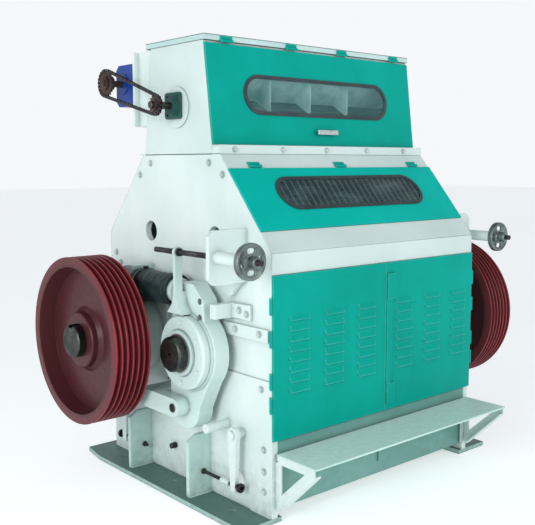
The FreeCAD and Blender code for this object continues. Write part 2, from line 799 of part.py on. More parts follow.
def pulley(side, y):
    """A dished pulley with V grooves; its key is part of it. Local X points outboard."""
    face = D.groove_pitch * (D.groove_count - 1) + 2 * D.groove_side
    inner_wall = D.pulley_radius - D.rim_thick
    count = int(round(float(D.groove_count)))
    profile = [
        (18, D.shaft_radius),
        (18, D.hub_radius - 4),
        (22, D.hub_radius),
        (face - D.web_in - D.web_thick, D.hub_radius + 8),
        (face - D.web_in - D.web_thick, inner_wall - 6),
        (0, inner_wall),
        (0, D.pulley_radius),
    ]
    for index in range(count):
        middle = D.groove_side + index * D.groove_pitch
        profile.append((middle - D.groove_mouth / 2, D.pulley_radius))
        profile.append((middle - D.groove_floor / 2, D.pulley_radius - D.groove_deep))
        profile.append((middle + D.groove_floor / 2, D.pulley_radius - D.groove_deep))
        profile.append((middle + D.groove_mouth / 2, D.pulley_radius))
    profile += [
        (face, D.pulley_radius),
        (face, inner_wall),
        (face - D.web_in, inner_wall - 14),
        (face - D.web_in, D.hub_radius + 22),
        (face - D.web_in + 16, D.hub_radius + 4),
        (face - D.hub_in - 5, D.hub_radius),
        (face - D.hub_in, D.hub_radius - 5),
        (face - D.hub_in, D.shaft_radius),
    ]
    body = turned("pulley", profile)
    turn = Rotation() if side > 0 else Rotation(Vector(0, 0, 1), 180)
    offset = half_width + D.pulley_out
    return place(body, side * offset, y, D.roll_up, turn)


node("front_pulley", pulley(1, front_roll_y))
node("rear_pulley", pulley(-1, rear_roll_y))


# Swing arms: a bearing boss, a pivot eye below it and a body that carries the screw lug
def swing_arm():
    body = new_body("swing_arm")
    crown_rear = front_roll_y + D.crown_rear
    crown_front = front_roll_y - D.crown_front
    crown = [
        (front_roll_y - 130, D.roll_up),
        (front_roll_y + 130, D.roll_up),
        (crown_rear + 20, D.roll_up + 110),
        (crown_rear, D.boot_up - 78),
        (crown_rear, D.boot_up + 14),
        (crown_rear - 42, D.crown_up),
        (crown_front + 68, D.crown_up),
        (crown_front + 6, D.stop_high + 8),
        (crown_front - 2, D.stop_low - 10),
        (crown_front - 15, D.roll_up + 100),
    ]
    waist = [
        (pivot_y - D.eye_radius, D.pivot_up),
        (pivot_y + D.eye_radius, D.pivot_up),
        (pivot_y + D.eye_radius, D.roll_up - 80),
        (front_roll_y - D.arm_radius * 0.8, D.roll_up - 90),
    ]
    bosses = [(front_roll_y, D.roll_up, D.arm_radius)]
    eye = [(pivot_y, D.pivot_up, D.eye_radius)]
    pad(body, "X", arm_face, D.arm_eye_thick, [], bosses)
    pad(body, "X", arm_face, D.arm_eye_thick, [], eye)
    pad(body, "X", arm_face, D.arm_eye_thick, [crown])
    pad(body, "X", arm_face, D.arm_eye_thick, [waist])
    corners = [
        (crown_rear, D.boot_up + 14), (crown_rear - 42, D.crown_up),
        (crown_front + 68, D.crown_up), (crown_front + 6, D.stop_high + 8),
    ]
    rounded(body, D.arm_round, lambda edge: stands_at(edge, corners))
    rim = float(arm_face + D.arm_eye_thick)
    rounded(body, D.casting_round, lambda edge: lies_in(edge, rim))
    seat_radius = D.arm_radius - D.casting_round - 2
    seat_start = arm_face + D.arm_eye_thick - 1
    pad(body, "X", seat_start, arm_outer - seat_start, [], [(front_roll_y, D.roll_up, seat_radius)])
    lug_outer = screw_x + D.lug_wide / 2
    foot_low = D.roll_up + D.cover_radius + 4
    lug = rectangle(
        lug_y - D.lug_thick / 2, foot_low + 8, lug_y + D.lug_thick / 2, D.screw_up,
    )
    lug_top = (screw_x, D.screw_up, D.lug_wide / 2 + 4)
    lug_foot = [
        (lug_y - 52, foot_low), (lug_y + 52, foot_low),
        (lug_y + 20, foot_low + 38), (lug_y + D.lug_thick / 2, foot_low + 86),
        (lug_y - D.lug_thick / 2, foot_low + 86), (lug_y - 20, foot_low + 38),
    ]
    foot_start = arm_face + D.arm_eye_thick - 10
    pad(body, "X", foot_start, lug_outer - foot_start, [lug_foot])
    pad(body, "X", screw_x - D.lug_wide / 2, D.lug_wide, [lug])
    pad(body, "Y", lug_y - D.lug_thick / 2, D.lug_thick, [], [lug_top])
    pocket(
        body, "X", arm_face - 1, D.arm_thick + 2, [],
        [
            (front_roll_y, D.roll_up, D.shaft_radius + D.bearing_play),
            (pivot_y, D.pivot_up, D.pivot_radius + D.pivot_play),
        ],
    )
    grease_holes = [(crown_front + 24, D.crown_up - 64, 13), (crown_front + 24, D.crown_up - 128, 13)]
    pocket(body, "X", arm_face + 18, D.arm_thick, [], grease_holes)
    pocket(
        body, "Y", lug_y - D.lug_thick, 2 * D.lug_thick, [],
        [(screw_x, D.screw_up, D.screw_radius + D.screw_play)],
    )
    plunger_x = half_width + D.boot_out
    plunger_start = crown_rear - 8
    pad(
        body, "Y", plunger_start, boot_front - plunger_start + D.plunger_long, [],
        [(plunger_x, D.boot_up, D.plunger_radius)],
    )
    return body


arm = node("swing_arm_right", swing_arm())
node("swing_arm_left", mirrored(arm))


def bearing_cover(y):
    """A turned cover with its seal boss, on the outer face of a bearing boss."""
    shaft_hole = D.shaft_radius + D.bearing_play
    profile = [
        (0, shaft_hole),
        (0, D.cover_radius),
        (D.cover_thick - 8, D.cover_radius),
        (D.cover_thick, D.cover_radius - 8),
        (D.cover_thick, D.seal_radius + 6),
        (D.cover_thick - 4, D.seal_radius + 3),
        (D.cover_thick - 4, D.seal_radius),
        (D.cover_thick + D.seal_thick, D.seal_radius),
        (D.cover_thick + D.seal_thick, shaft_hole),
    ]
    return place(turned("bearing_cover", profile), arm_outer, y, D.roll_up)


node("arm_covers", pair(bearing_cover(front_roll_y)))


# Rear housings: the same boss, fixed, with a seat for the buffer boot
def rear_housing():
    body = new_body("rear_housing")
    seat_y = boot_rear
    reach = D.arm_radius + 25
    foot = rectangle(
        rear_roll_y - reach, D.roll_up - reach, rear_roll_y + reach, D.roll_up + reach,
    )
    tower = [
        (seat_y, D.boot_up - D.boot_radius - 8),
        (rear_roll_y + 150, D.roll_up + 60),
        (rear_roll_y + 120, D.boot_up + 40),
        (seat_y + 40, D.boot_up + D.boot_radius + 8),
        (seat_y, D.boot_up + D.boot_radius + 8),
    ]
    pad(body, "X", half_width, D.arm_gap / 2, [foot])
    pad(body, "X", half_width, D.arm_gap + D.arm_thick, [], [(rear_roll_y, D.roll_up, D.arm_radius)])
    pad(body, "X", half_width, D.arm_gap + D.arm_eye_thick, [tower])
    pocket(
        body, "X", half_width - 1, D.arm_gap + D.arm_thick + 2, [],
        [(rear_roll_y, D.roll_up, D.shaft_radius + D.bearing_play)],
    )
    return body


node("rear_housings", pair(rear_housing()))
node("rear_covers", pair(bearing_cover(rear_roll_y)))


# Pivot links: the arm's eye hangs between the side frame and this bar
link_inner = arm_face + D.arm_eye_thick + D.side_gap


def pivot_link():
    body = new_body("pivot_link")
    straight = rectangle(
        pivot_y, D.pivot_up - D.link_half, front_roll_y + D.link_end_behind, D.pivot_up + D.link_half,
    )
    root_block = rectangle(
        pivot_y + D.eye_radius + 40, D.pivot_up - D.link_half,
        front_roll_y + D.link_end_behind, D.pivot_up + D.link_half,
    )
    pad(body, "X", link_inner, D.link_thick, [straight])
    pad(body, "X", link_inner, D.link_thick, [], [(pivot_y, D.pivot_up, D.link_half)])
    pad(body, "X", half_width, link_inner - half_width + 1, [root_block])
    pocket(body, "X", link_inner - 1, D.link_thick + 2, [], [(pivot_y, D.pivot_up, D.pivot_radius)])
    return body


node("pivot_links", pair(pivot_link()))
spacer = cut(
    bar("X", D.pivot_radius + 18, D.arm_gap - D.side_gap, half_width, pivot_y, D.pivot_up),
    bar("X", D.pivot_radius, D.arm_gap, half_width, pivot_y, D.pivot_up),
)
pin = bar("X", D.pivot_radius, link_inner + D.link_thick + 4 - half_width, half_width, pivot_y, D.pivot_up)
node("pivot_pins", group(pair(pin), pair(spacer)))


# Setting gear: bracket plates with their tubes, screws and handwheels
bracket_low = D.screw_up - D.bracket_drop
bracket_high = D.screw_up + D.bracket_rise


def screw_bracket():
    low_y = front + D.bracket_back - D.bracket_thick
    body = new_body("screw_bracket")
    plate = [
        (half_width, bracket_low),
        (half_width + D.bracket_wide - 22, bracket_low),
        (half_width + D.bracket_wide, bracket_low + 22),
        (half_width + D.bracket_wide, bracket_high - 22),
        (half_width + D.bracket_wide - 22, bracket_high),
        (half_width, bracket_high),
    ]
    hole = (screw_x, D.screw_up, D.screw_radius + D.screw_play)
    rib = [
        (low_y + D.bracket_thick - 1, bracket_low),
        (low_y + D.bracket_thick + 55, bracket_low - 60),
        (low_y + D.bracket_thick + 85, bracket_low - 60),
        (low_y + D.bracket_thick + 30, bracket_low + 40),
        (low_y + D.bracket_thick - 1, bracket_low + 40),
    ]
    pad(body, "Y", low_y, D.bracket_thick, [plate], [hole])
    pad(body, "Y", low_y - D.tube_long, D.tube_long, [], [(screw_x, D.screw_up, D.tube_radius), hole])
    pad(body, "X", half_width, 22, [rib])
    return body


node("screw_brackets", pair(screw_bracket()))

screw_tail = lug_y + D.screw_tail
screw_front = front - D.screw_nose
lug_front = lug_y - D.lug_thick / 2
lug_rear = lug_y + D.lug_thick / 2
screw = bar("Y", D.screw_radius, screw_tail - screw_front, screw_x, screw_front, D.screw_up)
front_nut = hexagon("-Y", 17, 12, screw_x, lug_front - 1.6, D.screw_up)
rear_nut = hexagon("Y", 17, 12, screw_x, lug_rear + 1.6, D.screw_up)
node("setting_screws", pair(fuse(screw, front_nut, rear_nut)))


def handwheel(side):
    """A dished wheel with four oval openings, turned about Y. Local X runs to the front."""
    bore = D.screw_radius + 0.05
    profile = [
        (0, bore),
        (0, D.wheel_hub),
        (18, D.wheel_hub),
        (24, D.wheel_hub + 6),
        (24, D.wheel_radius - 16),
        (14, D.wheel_radius - 10),
        (14, D.wheel_radius - 3),
        (17, D.wheel_radius),
        (14 + D.wheel_rim - 3, D.wheel_radius),
        (14 + D.wheel_rim, D.wheel_radius - 3),
        (14 + D.wheel_rim, D.wheel_radius - 9),
        (34, D.wheel_radius - 16),
        (34, D.wheel_hub + 3),
        (D.wheel_long - 3, D.wheel_hub),
        (D.wheel_long, D.wheel_hub - 3),
        (D.wheel_long, bore),
    ]
    wheel = turned("handwheel", profile)
    sketch = new_sketch(wheel, "YZ_Plane", 20)
    stadium(sketch, (D.wheel_hub + D.wheel_radius - 10) / 2, 9, 9.5)
    window = wheel.newObject("PartDesign::Pocket", "window")
    window.Profile = sketch
    window.Reversed = True
    window.Length = 20
    ring_of(wheel, [window], "X_Axis", 4)
    wheel_back = front + D.bracket_back - D.bracket_thick - D.tube_long - D.side_gap
    return place(wheel, side * screw_x, wheel_back, D.screw_up, Rotation(Vector(0, 0, 1), -90))


node("handwheel_left", handwheel(-1))
node("handwheel_right", handwheel(1))

# Buffer boots, open at the front for the arm's plunger, and their clamp rings
boot_x = half_width + D.boot_out
boot_long = boot_rear - boot_front
boot = turned(
    "boot",
    [
        (0, D.boot_radius - D.boot_wall),
        (0, D.boot_radius - 3),
        (5, D.boot_radius),
        (boot_long - 12, D.boot_radius),
        (boot_long, D.boot_radius - 10),
        (boot_long, 0),
        (boot_long - 40, 0),
        (boot_long - 40, D.boot_radius - D.boot_wall),
    ],
)
place(boot, boot_x, boot_front, D.boot_up, Rotation(Vector(0, 0, 1), 90))
node("buffer_boots", pair(boot))
clamp_y = boot_rear - 66
clamp = cut(
    fuse(
        bar("Y", D.boot_radius + 2.5, 14, boot_x, clamp_y, D.boot_up),
        box(boot_x - 9, clamp_y - 3, D.boot_up + D.boot_radius - 2, 18, 20, 12),
    ),
    bar("Y", D.boot_radius, 30, boot_x, clamp_y - 5, D.boot_up),
)
node("boot_clamps", pair(clamp))

def window_feature(body, kind, start, thick, up, *radii):
    """Pads or pockets a window shape, or a ring between two of them, square to Y."""
    sketch = new_sketch(body, "XZ_Plane", -start)
    for radius in radii:
        stadium(sketch, up, window_half, radius)
    feature = body.newObject("PartDesign::" + kind, kind.lower())
    feature.Profile = sketch
    feature.Reversed = kind == "Pad"
    bind(feature, "Length", thick)
    return feature


def leaning(piece, x, y, z, angle):
    """Places a piece that was built upright so that its top leans back by an angle."""
    piece.Placement = Placement(Vector(), Rotation(Vector(1, 0, 0), -float(angle)))
    bind(piece, "Placement.Base.x", x)
    bind(piece, "Placement.Base.y", y)
    bind(piece, "Placement.Base.z", z)
    bind(piece, "Placement.Rotation.Angle", -angle)
    return piece


def folded_panel(name, low_x, high_x, low_z, high_z):
    """A sheet with a folded rim. Its back plane is just before y = 0."""
    body = new_body(name)
    rim = D.panel_thick
    start = -D.panel_deep - D.side_gap
    pad(body, "Y", start, D.panel_deep, [rectangle(low_x, low_z, high_x, high_z)])
    hollow = rectangle(low_x + rim, low_z + rim, high_x - rim, high_z - rim)
    pocket(body, "Y", start + D.panel_thick, D.panel_deep, [hollow])
    return body


panel_face = -D.panel_deep - D.side_gap


def window_rubber(up):
    body = new_body("window_rubber")
    inner = D.window_radius - D.rubber_wall
    outer = D.window_radius + D.rubber_lip
    lip = D.rubber_thick
    back_of_sheet = panel_face + D.panel_thick
    window_feature(body, "Pad", panel_face - lip, lip, up, outer, inner - 4)
    window_feature(body, "Pad", panel_face, D.panel_thick, up, D.window_radius - D.fit_gap, inner)
    window_feature(body, "Pad", back_of_sheet, lip, up, outer, inner)
    return body


def window_glass(up):
    body = new_body("glass")
    reach = D.window_radius - D.rubber_wall - D.fit_gap
    window_feature(body, "Pad", panel_face, D.glass_thick, up, reach)
    return body


# Hopper: a shell that narrows upwards, open to the front behind its glazed door
hopper_angle = slope_angle(D.hopper_lean, D.hopper_tall)
hopper_foot = D.frame_top + D.ledge_tall


def hopper_face(edge, sign, height):
    """Where the leaning front or rear face stands at a height."""
    return edge + sign * (height - D.frame_top) * D.hopper_lean / D.hopper_tall


def hopper_shell():
    body = new_body("hopper_shell")
    wall = D.hopper_wall
    outside = [
        (hopper_front, D.frame_top),
        (hopper_rear, D.frame_top),
        (hopper_rear - D.hopper_lean, hopper_top),
        (hopper_front + D.hopper_lean, hopper_top),
    ]
    inside = [
        (hopper_front + wall, D.frame_top - 1),
        (hopper_rear - wall, D.frame_top - 1),
        (hopper_rear - wall - D.hopper_lean, hopper_top + 1),
        (hopper_front + wall + D.hopper_lean, hopper_top + 1),
    ]
    pad(body, "X", -half_width, D.frame_width, [outside])
    pocket(body, "X", -half_width + wall, D.frame_width - 2 * wall, [inside])
    doorway = rectangle(
        -half_width + 34, hopper_foot + 24, half_width - 34, hopper_top - 26,
    )
    pocket(body, "Y", hopper_front - 1, D.hopper_lean + wall + 1, [doorway])
    shaft_hole = (feed_y, feed_up, D.feed_shaft_radius + D.feed_shaft_play)
    pocket(body, "X", -half_width - 1, D.frame_width + 2, [], [shaft_hole])
    outer = front + D.ledge_back
    ledge = [
        (outer, D.frame_top),
        (outer + D.ledge_thick, D.frame_top),
        (outer + D.ledge_thick, hopper_foot - D.ledge_thick),
        (hopper_front + 6, hopper_foot - D.ledge_thick),
        (hopper_front + 6, hopper_foot),
        (outer, hopper_foot),
    ]
    rear_ledge = [
        (hopper_rear - 2, D.frame_top),
        (hopper_rear + 44, D.frame_top),
        (hopper_rear + 44, D.frame_top + D.ledge_thick),
        (hopper_rear - 2, D.frame_top + D.ledge_thick),
    ]
    pad(body, "X", -half_width, D.frame_width, [ledge])
    pad(body, "X", -half_width, D.frame_width, [rear_ledge])
    return body


node("hopper_body", hopper_shell())


def roof():
    """A folded lid with the feed inlet in it; the inlet's edges are turned down."""
    body = new_body("roof")
    low_y = front + D.roof_front_back
    high_y = back - D.roof_rear_in
    side = half_width + D.roof_over
    wall = D.hopper_wall
    lip = 4
    middle = (low_y + high_y) / 2
    pad(body, "Z", hopper_top, D.roof_rise, [rectangle(-side, low_y, side, high_y)])
    hollow = rectangle(-side + wall, low_y + wall, side - wall, high_y - wall)
    inlet_edge = rectangle(
        -D.inlet_long / 2 - lip, middle - D.inlet_wide / 2 - lip,
        D.inlet_long / 2 + lip, middle + D.inlet_wide / 2 + lip,
    )
    pocket(body, "Z", hopper_top - 1, D.roof_rise - wall + 1, [hollow, inlet_edge])
    inlet = rectangle(
        -D.inlet_long / 2, middle - D.inlet_wide / 2, D.inlet_long / 2, middle + D.inlet_wide / 2,
    )
    pocket(body, "Z", hopper_top - 1, D.roof_rise + 2, [inlet])
    return body


node("hopper_roof", roof())

# Hopper door with its window, glass and grip
door_foot_y = hopper_face(hopper_front, 1, hopper_foot)
door_foot_z = hopper_foot + D.door_clearance
hopper_long = root(D.hopper_lean * D.hopper_lean + D.hopper_tall * D.hopper_tall)
door_tall = (hopper_top - door_foot_z) * hopper_long / D.hopper_tall - D.door_head_gap
hopper_panel = folded_panel("hopper_panel", -half_width + 2, half_width - 2, 0, door_tall)
window_feature(
    hopper_panel, "Pocket", panel_face - 1, D.panel_thick + 2, D.hopper_window_up, D.window_radius,
)
hopper_place = (0, door_foot_y, door_foot_z, hopper_angle)
node("hopper_door", leaning(hopper_panel, *hopper_place))
node("hopper_rubber", leaning(window_rubber(D.hopper_window_up), *hopper_place))
node("hopper_glass", leaning(window_glass(D.hopper_window_up), *hopper_place))
grip = new_body("grip")
pad(grip, "Y", panel_face - 26, 10, [rectangle(-52, 46, 70, 66)])
pad(grip, "Y", panel_face - 18, 18, [rectangle(-46, 50, -32, 62)])
pad(grip, "Y", panel_face - 18, 18, [rectangle(50, 50, 64, 62)])
node("hopper_grip", leaning(grip, *hopper_place))

# Flap over the rolls on the front slope, and the sheets above and below it
slope_place = (0, front, shoulder_up, slope_lean)
flap_high = slope_long - D.upper_band
flap_window_up = (D.flap_low + flap_high) / 2 + D.flap_window_shift
flap = folded_panel("flap", -half_width, half_width, D.flap_low, flap_high)
window_feature(
    flap, "Pocket", panel_face - 1, D.panel_thick + 2, flap_window_up, D.window_radius,
)
node("flap", leaning(flap, *slope_place))
node("flap_rubber", leaning(window_rubber(flap_window_up), *slope_place))
node("flap_glass", leaning(window_glass(flap_window_up), *slope_place))


def plain_sheet(low_z, high_z):
    body = new_body("sheet")
    outline = rectangle(-half_width, low_z, half_width, high_z)
    pad(body, "Y", -D.sheet_thick, D.sheet_thick, [outline])
    return body


upper_sheet = plain_sheet(flap_high + D.door_clearance, slope_long - D.sheet_thick)
upper_band = leaning(upper_sheet, *slope_place)
lower_band = leaning(plain_sheet(0, D.flap_low - D.door_clearance), *slope_place)
shoulder_band = place(
    plain_sheet(door_high + D.door_clearance, shoulder_up), 0, front, 0,
)
node("front_bands", group(upper_band, lower_band, shoulder_band))

# Rear sheets, hidden behind the machine
rear_angle = slope_angle(D.rear_inset, D.rear_slope_rise)
rear_long = root(D.rear_inset * D.rear_inset + D.rear_slope_rise * D.rear_slope_rise)
rear_low = D.sill_low + D.sill_tall + D.door_clearance


def rear_sheet(low_z, high_z):
    body = new_body("sheet")
    outline = rectangle(-half_width, low_z, half_width, high_z)
    pad(body, "Y", 0, D.sheet_thick, [outline])
    return body


rear_slope = leaning(
    rear_sheet(0, rear_long - D.sheet_thick), 0, back, rear_shoulder_up, -rear_angle,
)
rear_wall = place(rear_sheet(rear_low, rear_shoulder_up), 0, back, 0)
node("rear_covers_sheet", group(rear_slope, rear_wall))


# Louvred doors, hinged at the side frames
column_pitch = (half_width - D.door_split) / 2 - D.column_margin


def louvred_door(name, low_x, high_x):
    body = folded_panel(name, low_x, high_x, D.door_low, door_high)
    column = (low_x + high_x) / 2 + D.column_shift
    face = panel_face
    low = D.louvre_low
    high = D.louvre_low + D.louvre_tall
    hood = [(face + 1, low), (face - D.louvre_out, low), (face + 1, high)]
    skin = D.louvre_sheet
    inner = [
        (face + D.panel_thick + 1, low - 1),
        (face - D.louvre_out + skin + 1, low - 1),
        (face - D.louvre_out + skin, low),
        (face + 1, high - 2.5 * skin),
        (face + D.panel_thick + 1, high - 2.5 * skin),
    ]
    pressed = []
    for step in (-1, 0, 1):
        start = column + step * column_pitch - D.louvre_wide / 2
        pressed.append(pad(body, "X", start, D.louvre_wide, [hood]))
        pressed.append(pocket(body, "X", start + skin, D.louvre_wide - 2 * skin, [inner]))
    rows(body, pressed, "Z_Axis", (D.louvre_count - 1) * D.louvre_pitch, D.louvre_count)
    return place(body, 0, front, 0)


node(
    "door_left",
    louvred_door("door", -half_width, D.door_split - D.door_clearance / 2),
)
node(
    "door_right",
    louvred_door("door", D.door_split + D.door_clearance / 2, half_width),
)


def door_pulls():
    """Two pads with a raised strip between them, on the right door beside the joint."""
    body = new_body("pulls")
    inner_x = D.door_split + 5
    low, high = D.door_low + 32, door_high - 46
    strip_low, strip_high = low + 86, high - 107
    pad(body, "Y", panel_face - 5, 5, [rectangle(inner_x, strip_low, inner_x + 30, strip_high)])
    pad(body, "Y", panel_face - 9, 9, [rectangle(inner_x, strip_high, inner_x + 48, high)])
    pad(body, "Y", panel_face - 9, 9, [rectangle(inner_x, low, inner_x + 48, strip_low)])
    return place(body, 0, front, 0)


node("door_pulls", door_pulls())

# Hinge barrels with their leaves, on the fixed side of each joint
hinge_out = half_width + D.hinge_radius + 1
hinge_y = front - D.hinge_radius + 1


def door_hinge(up):
    barrel_piece = bar("Z", D.hinge_radius, D.hinge_long, hinge_out, hinge_y, up - D.hinge_long / 2)
    leaf = box(half_width, hinge_y, up - D.hinge_long / 2, 3, 16, D.hinge_long)
    return fuse(barrel_piece, leaf)


roof_hinge_y = front + D.roof_front_back - D.hinge_radius
roof_hinge_z = hopper_top + 1


def roof_hinge(x):
    barrel_piece = bar("X", D.hinge_radius, D.hinge_long, x - D.hinge_long / 2, roof_hinge_y, roof_hinge_z)
    leaf = box(x - D.hinge_long / 2, roof_hinge_y + 3, roof_hinge_z, D.hinge_long, 3, 20)
    return fuse(barrel_piece, leaf)


flap_hinge_out = D.panel_deep + 1
flap_hinge_up = flap_high + D.hinge_radius + 2


def flap_hinge(x):
    """Built upright at the foot of the slope, then leant back with it."""
    body = new_body("flap_hinge")
    barrel_circle = [(-flap_hinge_out, flap_hinge_up, D.hinge_radius)]
    pad(body, "X", x - D.hinge_long / 2, D.hinge_long, [], barrel_circle)
    leaf = rectangle(-D.sheet_thick - 4, flap_hinge_up, -D.sheet_thick, flap_hinge_up + 24)
    pad(body, "X", x - D.hinge_long / 2, D.hinge_long, [leaf])
    return leaning(body, *slope_place)


hinge_ups = (D.door_low + 140, D.door_low + 232, door_high - 240, door_high - 116)
side_hinges = [pair(door_hinge(up)) for up in hinge_ups]
roof_hinge_end = half_width - D.roof_hinge_inset
roof_hinge_places = (-roof_hinge_end, -D.roof_hinge_inner, D.roof_hinge_inner, roof_hinge_end)
roof_hinges = [roof_hinge(x) for x in roof_hinge_places]
flap_hinge_end = half_width - D.flap_hinge_inset
flap_hinge_places = (-flap_hinge_end, 0, flap_hinge_end)
flap_hinges = [flap_hinge(x + D.flap_hinge_shift) for x in flap_hinge_places]
node("hinge_barrels", group(*side_hinges, *roof_hinges, *flap_hinges))


# Step in front of the doors
step_half = half_width - D.step_inset


def step_tread():
    body = new_body("step_tread")
    high_y = front - D.step_gap
    low_y = high_y - D.step_deep
    thick = D.step_thick
    section = [
        (low_y, D.step_up),
        (high_y, D.step_up),
        (high_y, D.step_up - D.step_lip),
        (high_y - thick, D.step_up - D.step_lip),
        (high_y - thick, D.step_up - thick),
        (low_y + thick, D.step_up - thick),
        (low_y + thick, D.step_up - D.step_nose),
        (low_y, D.step_up - D.step_nose),
    ]
    pad(body, "X", -step_half, 2 * step_half, [section])
    return body


node("step_tread", step_tread())


def step_bracket():
    """A triangle of angle iron: top member, front leg against the frame and diagonal."""
    body = new_body("step_bracket")
    thick = D.step_thick
    leg = D.angle_leg
    high_y = front
    top = D.step_up - thick
    low_y = front - D.step_gap - D.step_deep + thick + 2
    foot = D.step_foot
    lip_y = high_y - D.step_gap - thick
    lip_top = top - D.step_lip
    web = [
        (high_y, lip_top),
        (lip_y, lip_top),
        (lip_y, top),
        (low_y, top),
        (low_y, top - leg * 1.1),
        (high_y - leg, foot),
        (high_y, foot),
    ]
    opening = [
        (high_y - leg, top - leg),
        (low_y + leg * 1.7, top - leg),
        (high_y - leg, foot + leg * 1.9),
    ]
    outer = step_half - 1
    under = rectangle(low_y, top - thick, lip_y, top)
    upright = rectangle(high_y - thick, foot, high_y, lip_top)
    diagonal = [
        (low_y, top - leg * 1.1),
        (high_y - leg, foot),
        (high_y - leg, foot + thick * 1.6),
        (low_y, top - leg * 1.1 + thick * 1.6),
    ]
    pad(body, "X", outer - thick, thick, [web, opening])
    pad(body, "X", outer - leg, leg, [under])
    pad(body, "X", outer - leg, leg, [upright])
    pad(body, "X", outer - leg, leg, [diagonal])
    return body


node("step_brackets", pair(step_bracket()))

# Feed roll with its end discs and bearings
feed_half = half_width - D.hopper_wall - 2
chain_x = half_width + D.chain_out
plate_face = half_width + D.disc_thick
bearing_end = plate_face + 28


def feed_roll():
    profile = [
        (-chain_x - 26, 0),
        (-chain_x - 26, D.feed_shaft_radius - 1),
        (-chain_x - 25, D.feed_shaft_radius),
        (-feed_half, D.feed_shaft_radius),
        (-feed_half, D.feed_radius),
        (feed_half, D.feed_radius),
        (feed_half, D.feed_shaft_radius),
        (bearing_end + 6, D.feed_shaft_radius),
        (bearing_end + 7, D.feed_shaft_radius - 1),
        (bearing_end + 7, 0),
    ]
    body = turned("feed_roll", profile)
    groove = rectangle(-D.feed_radius - 1, -4, -D.feed_radius + 5, 4)
    flutes = pocket(body, "X", -feed_half - 1, 2 * feed_half + 2, [groove])
    ring_of(body, [flutes], "X_Axis", 12)
    return place(body, 0, feed_y, feed_up)


node("feed_roll", feed_roll())
shaft_hole = bar("X", D.feed_shaft_radius + 1, 60, half_width - 10, feed_y, feed_up)
disc = bar("X", D.disc_radius, D.disc_thick, half_width, feed_y - 8, feed_up - 6)
node("end_discs", pair(cut(disc, shaft_hole)))


def feed_bearing():
    """A square flange with a round housing turned out of it."""
    body = new_body("feed_bearing")
    half = D.bearing_plate / 2
    edge = half - 9
    square = [
        (-half, -edge), (-edge, -half), (edge, -half), (half, -edge),
        (half, edge), (edge, half), (-edge, half), (-half, edge),
    ]
    bore = [(0, 0, D.feed_shaft_radius + D.bearing_play)]
    bolt = half - 18
    bolts = [(a * bolt, b * bolt, 6) for a in (-1, 1) for b in (-1, 1)]
    pad(body, "X", 0, 14, [square], bore + bolts)
    pad(body, "X", 14, 8, [], bore + [(0, 0, 41)])
    pad(body, "X", 22, 6, [], bore + [(0, 0, 32)])
    return place(body, plate_face, feed_y, feed_up)


node("feed_bearings", pair(feed_bearing()))


# Sprockets and their roller chain
def pitch_radius(teeth):
    count = float(teeth)
    value = float(D.chain_pitch) / (2 * math.sin(math.pi / count))
    return Formula(value, f"({D.chain_pitch.text} / (2 * sin(180 deg / {teeth.text})))")


def sprocket(name, teeth, hub_radius, hub_start, hub_long, shaft_radius):
    """A toothed disc about its own X axis, with its hub on the side that faces the machine."""
    body = new_body(name)
    pitch = pitch_radius(teeth)
    valley = pitch - D.roller_radius
    tip = pitch + 4
    tooth = [(-3.4, valley - 2), (3.4, valley - 2), (2.9, valley + 3), (1.2, tip), (-1.2, tip), (-2.9, valley + 3)]
    bore = [(0, 0, shaft_radius)] if shaft_radius else []
    start = -D.tooth_wide / 2
    pad(body, "X", start, D.tooth_wide, [], [(0, 0, valley)])
    teeth_pad = pad(body, "X", start, D.tooth_wide, [tooth])
    ring_of(body, [teeth_pad], "X_Axis", teeth)
    pad(body, "X", hub_start, hub_long, [], [(0, 0, hub_radius)])
    if bore:
        pocket(body, "X", hub_start - 1, hub_long + 40, [], bore)
    return body


feed_sprocket = sprocket("feed_sprocket", D.feed_teeth, 24, -12, 34, D.feed_shaft_radius)
node("feed_sprocket", place(feed_sprocket, -chain_x, feed_y, feed_up))
gearbox_face = -(half_width + D.gearbox_out)
drive_sprocket = sprocket("drive_sprocket", D.motor_teeth, 30, -12, 40, 0)
drive_shaft_long = chain_x + 16 - half_width - D.gearbox_out + 30
pad(
    drive_sprocket, "X", -16, drive_shaft_long, [], [(0, 0, D.motor_shaft_radius)],
)
node("drive_sprocket", place(drive_sprocket, -chain_x, motor_y, motor_up))


def around_both(radius_a, radius_b, run, rise):
    """The outline of a belt round two circles, one at the origin, as a wire square to X."""
    reach = math.hypot(run, rise)
    aim = math.atan2(rise, run)
    spread = math.acos((radius_a - radius_b) / reach)

    def at(centre, radius, angle):
        return Vector(0, centre[0] + radius * math.cos(angle), centre[1] + radius * math.sin(angle))

    a, b = (0, 0), (run, rise)
    back_arc = Part.Arc(
        at(a, radius_a, aim + spread), at(a, radius_a, aim + math.pi), at(a, radius_a, aim - spread),
    )
    front_arc = Part.Arc(
        at(b, radius_b, aim - spread), at(b, radius_b, aim), at(b, radius_b, aim + spread),
    )
    lower = Part.makeLine(at(a, radius_a, aim - spread), at(b, radius_b, aim - spread))
    upper = Part.makeLine(at(b, radius_b, aim + spread), at(a, radius_a, aim + spread))
    return Part.Wire([back_arc.toShape(), lower, front_arc.toShape(), upper])


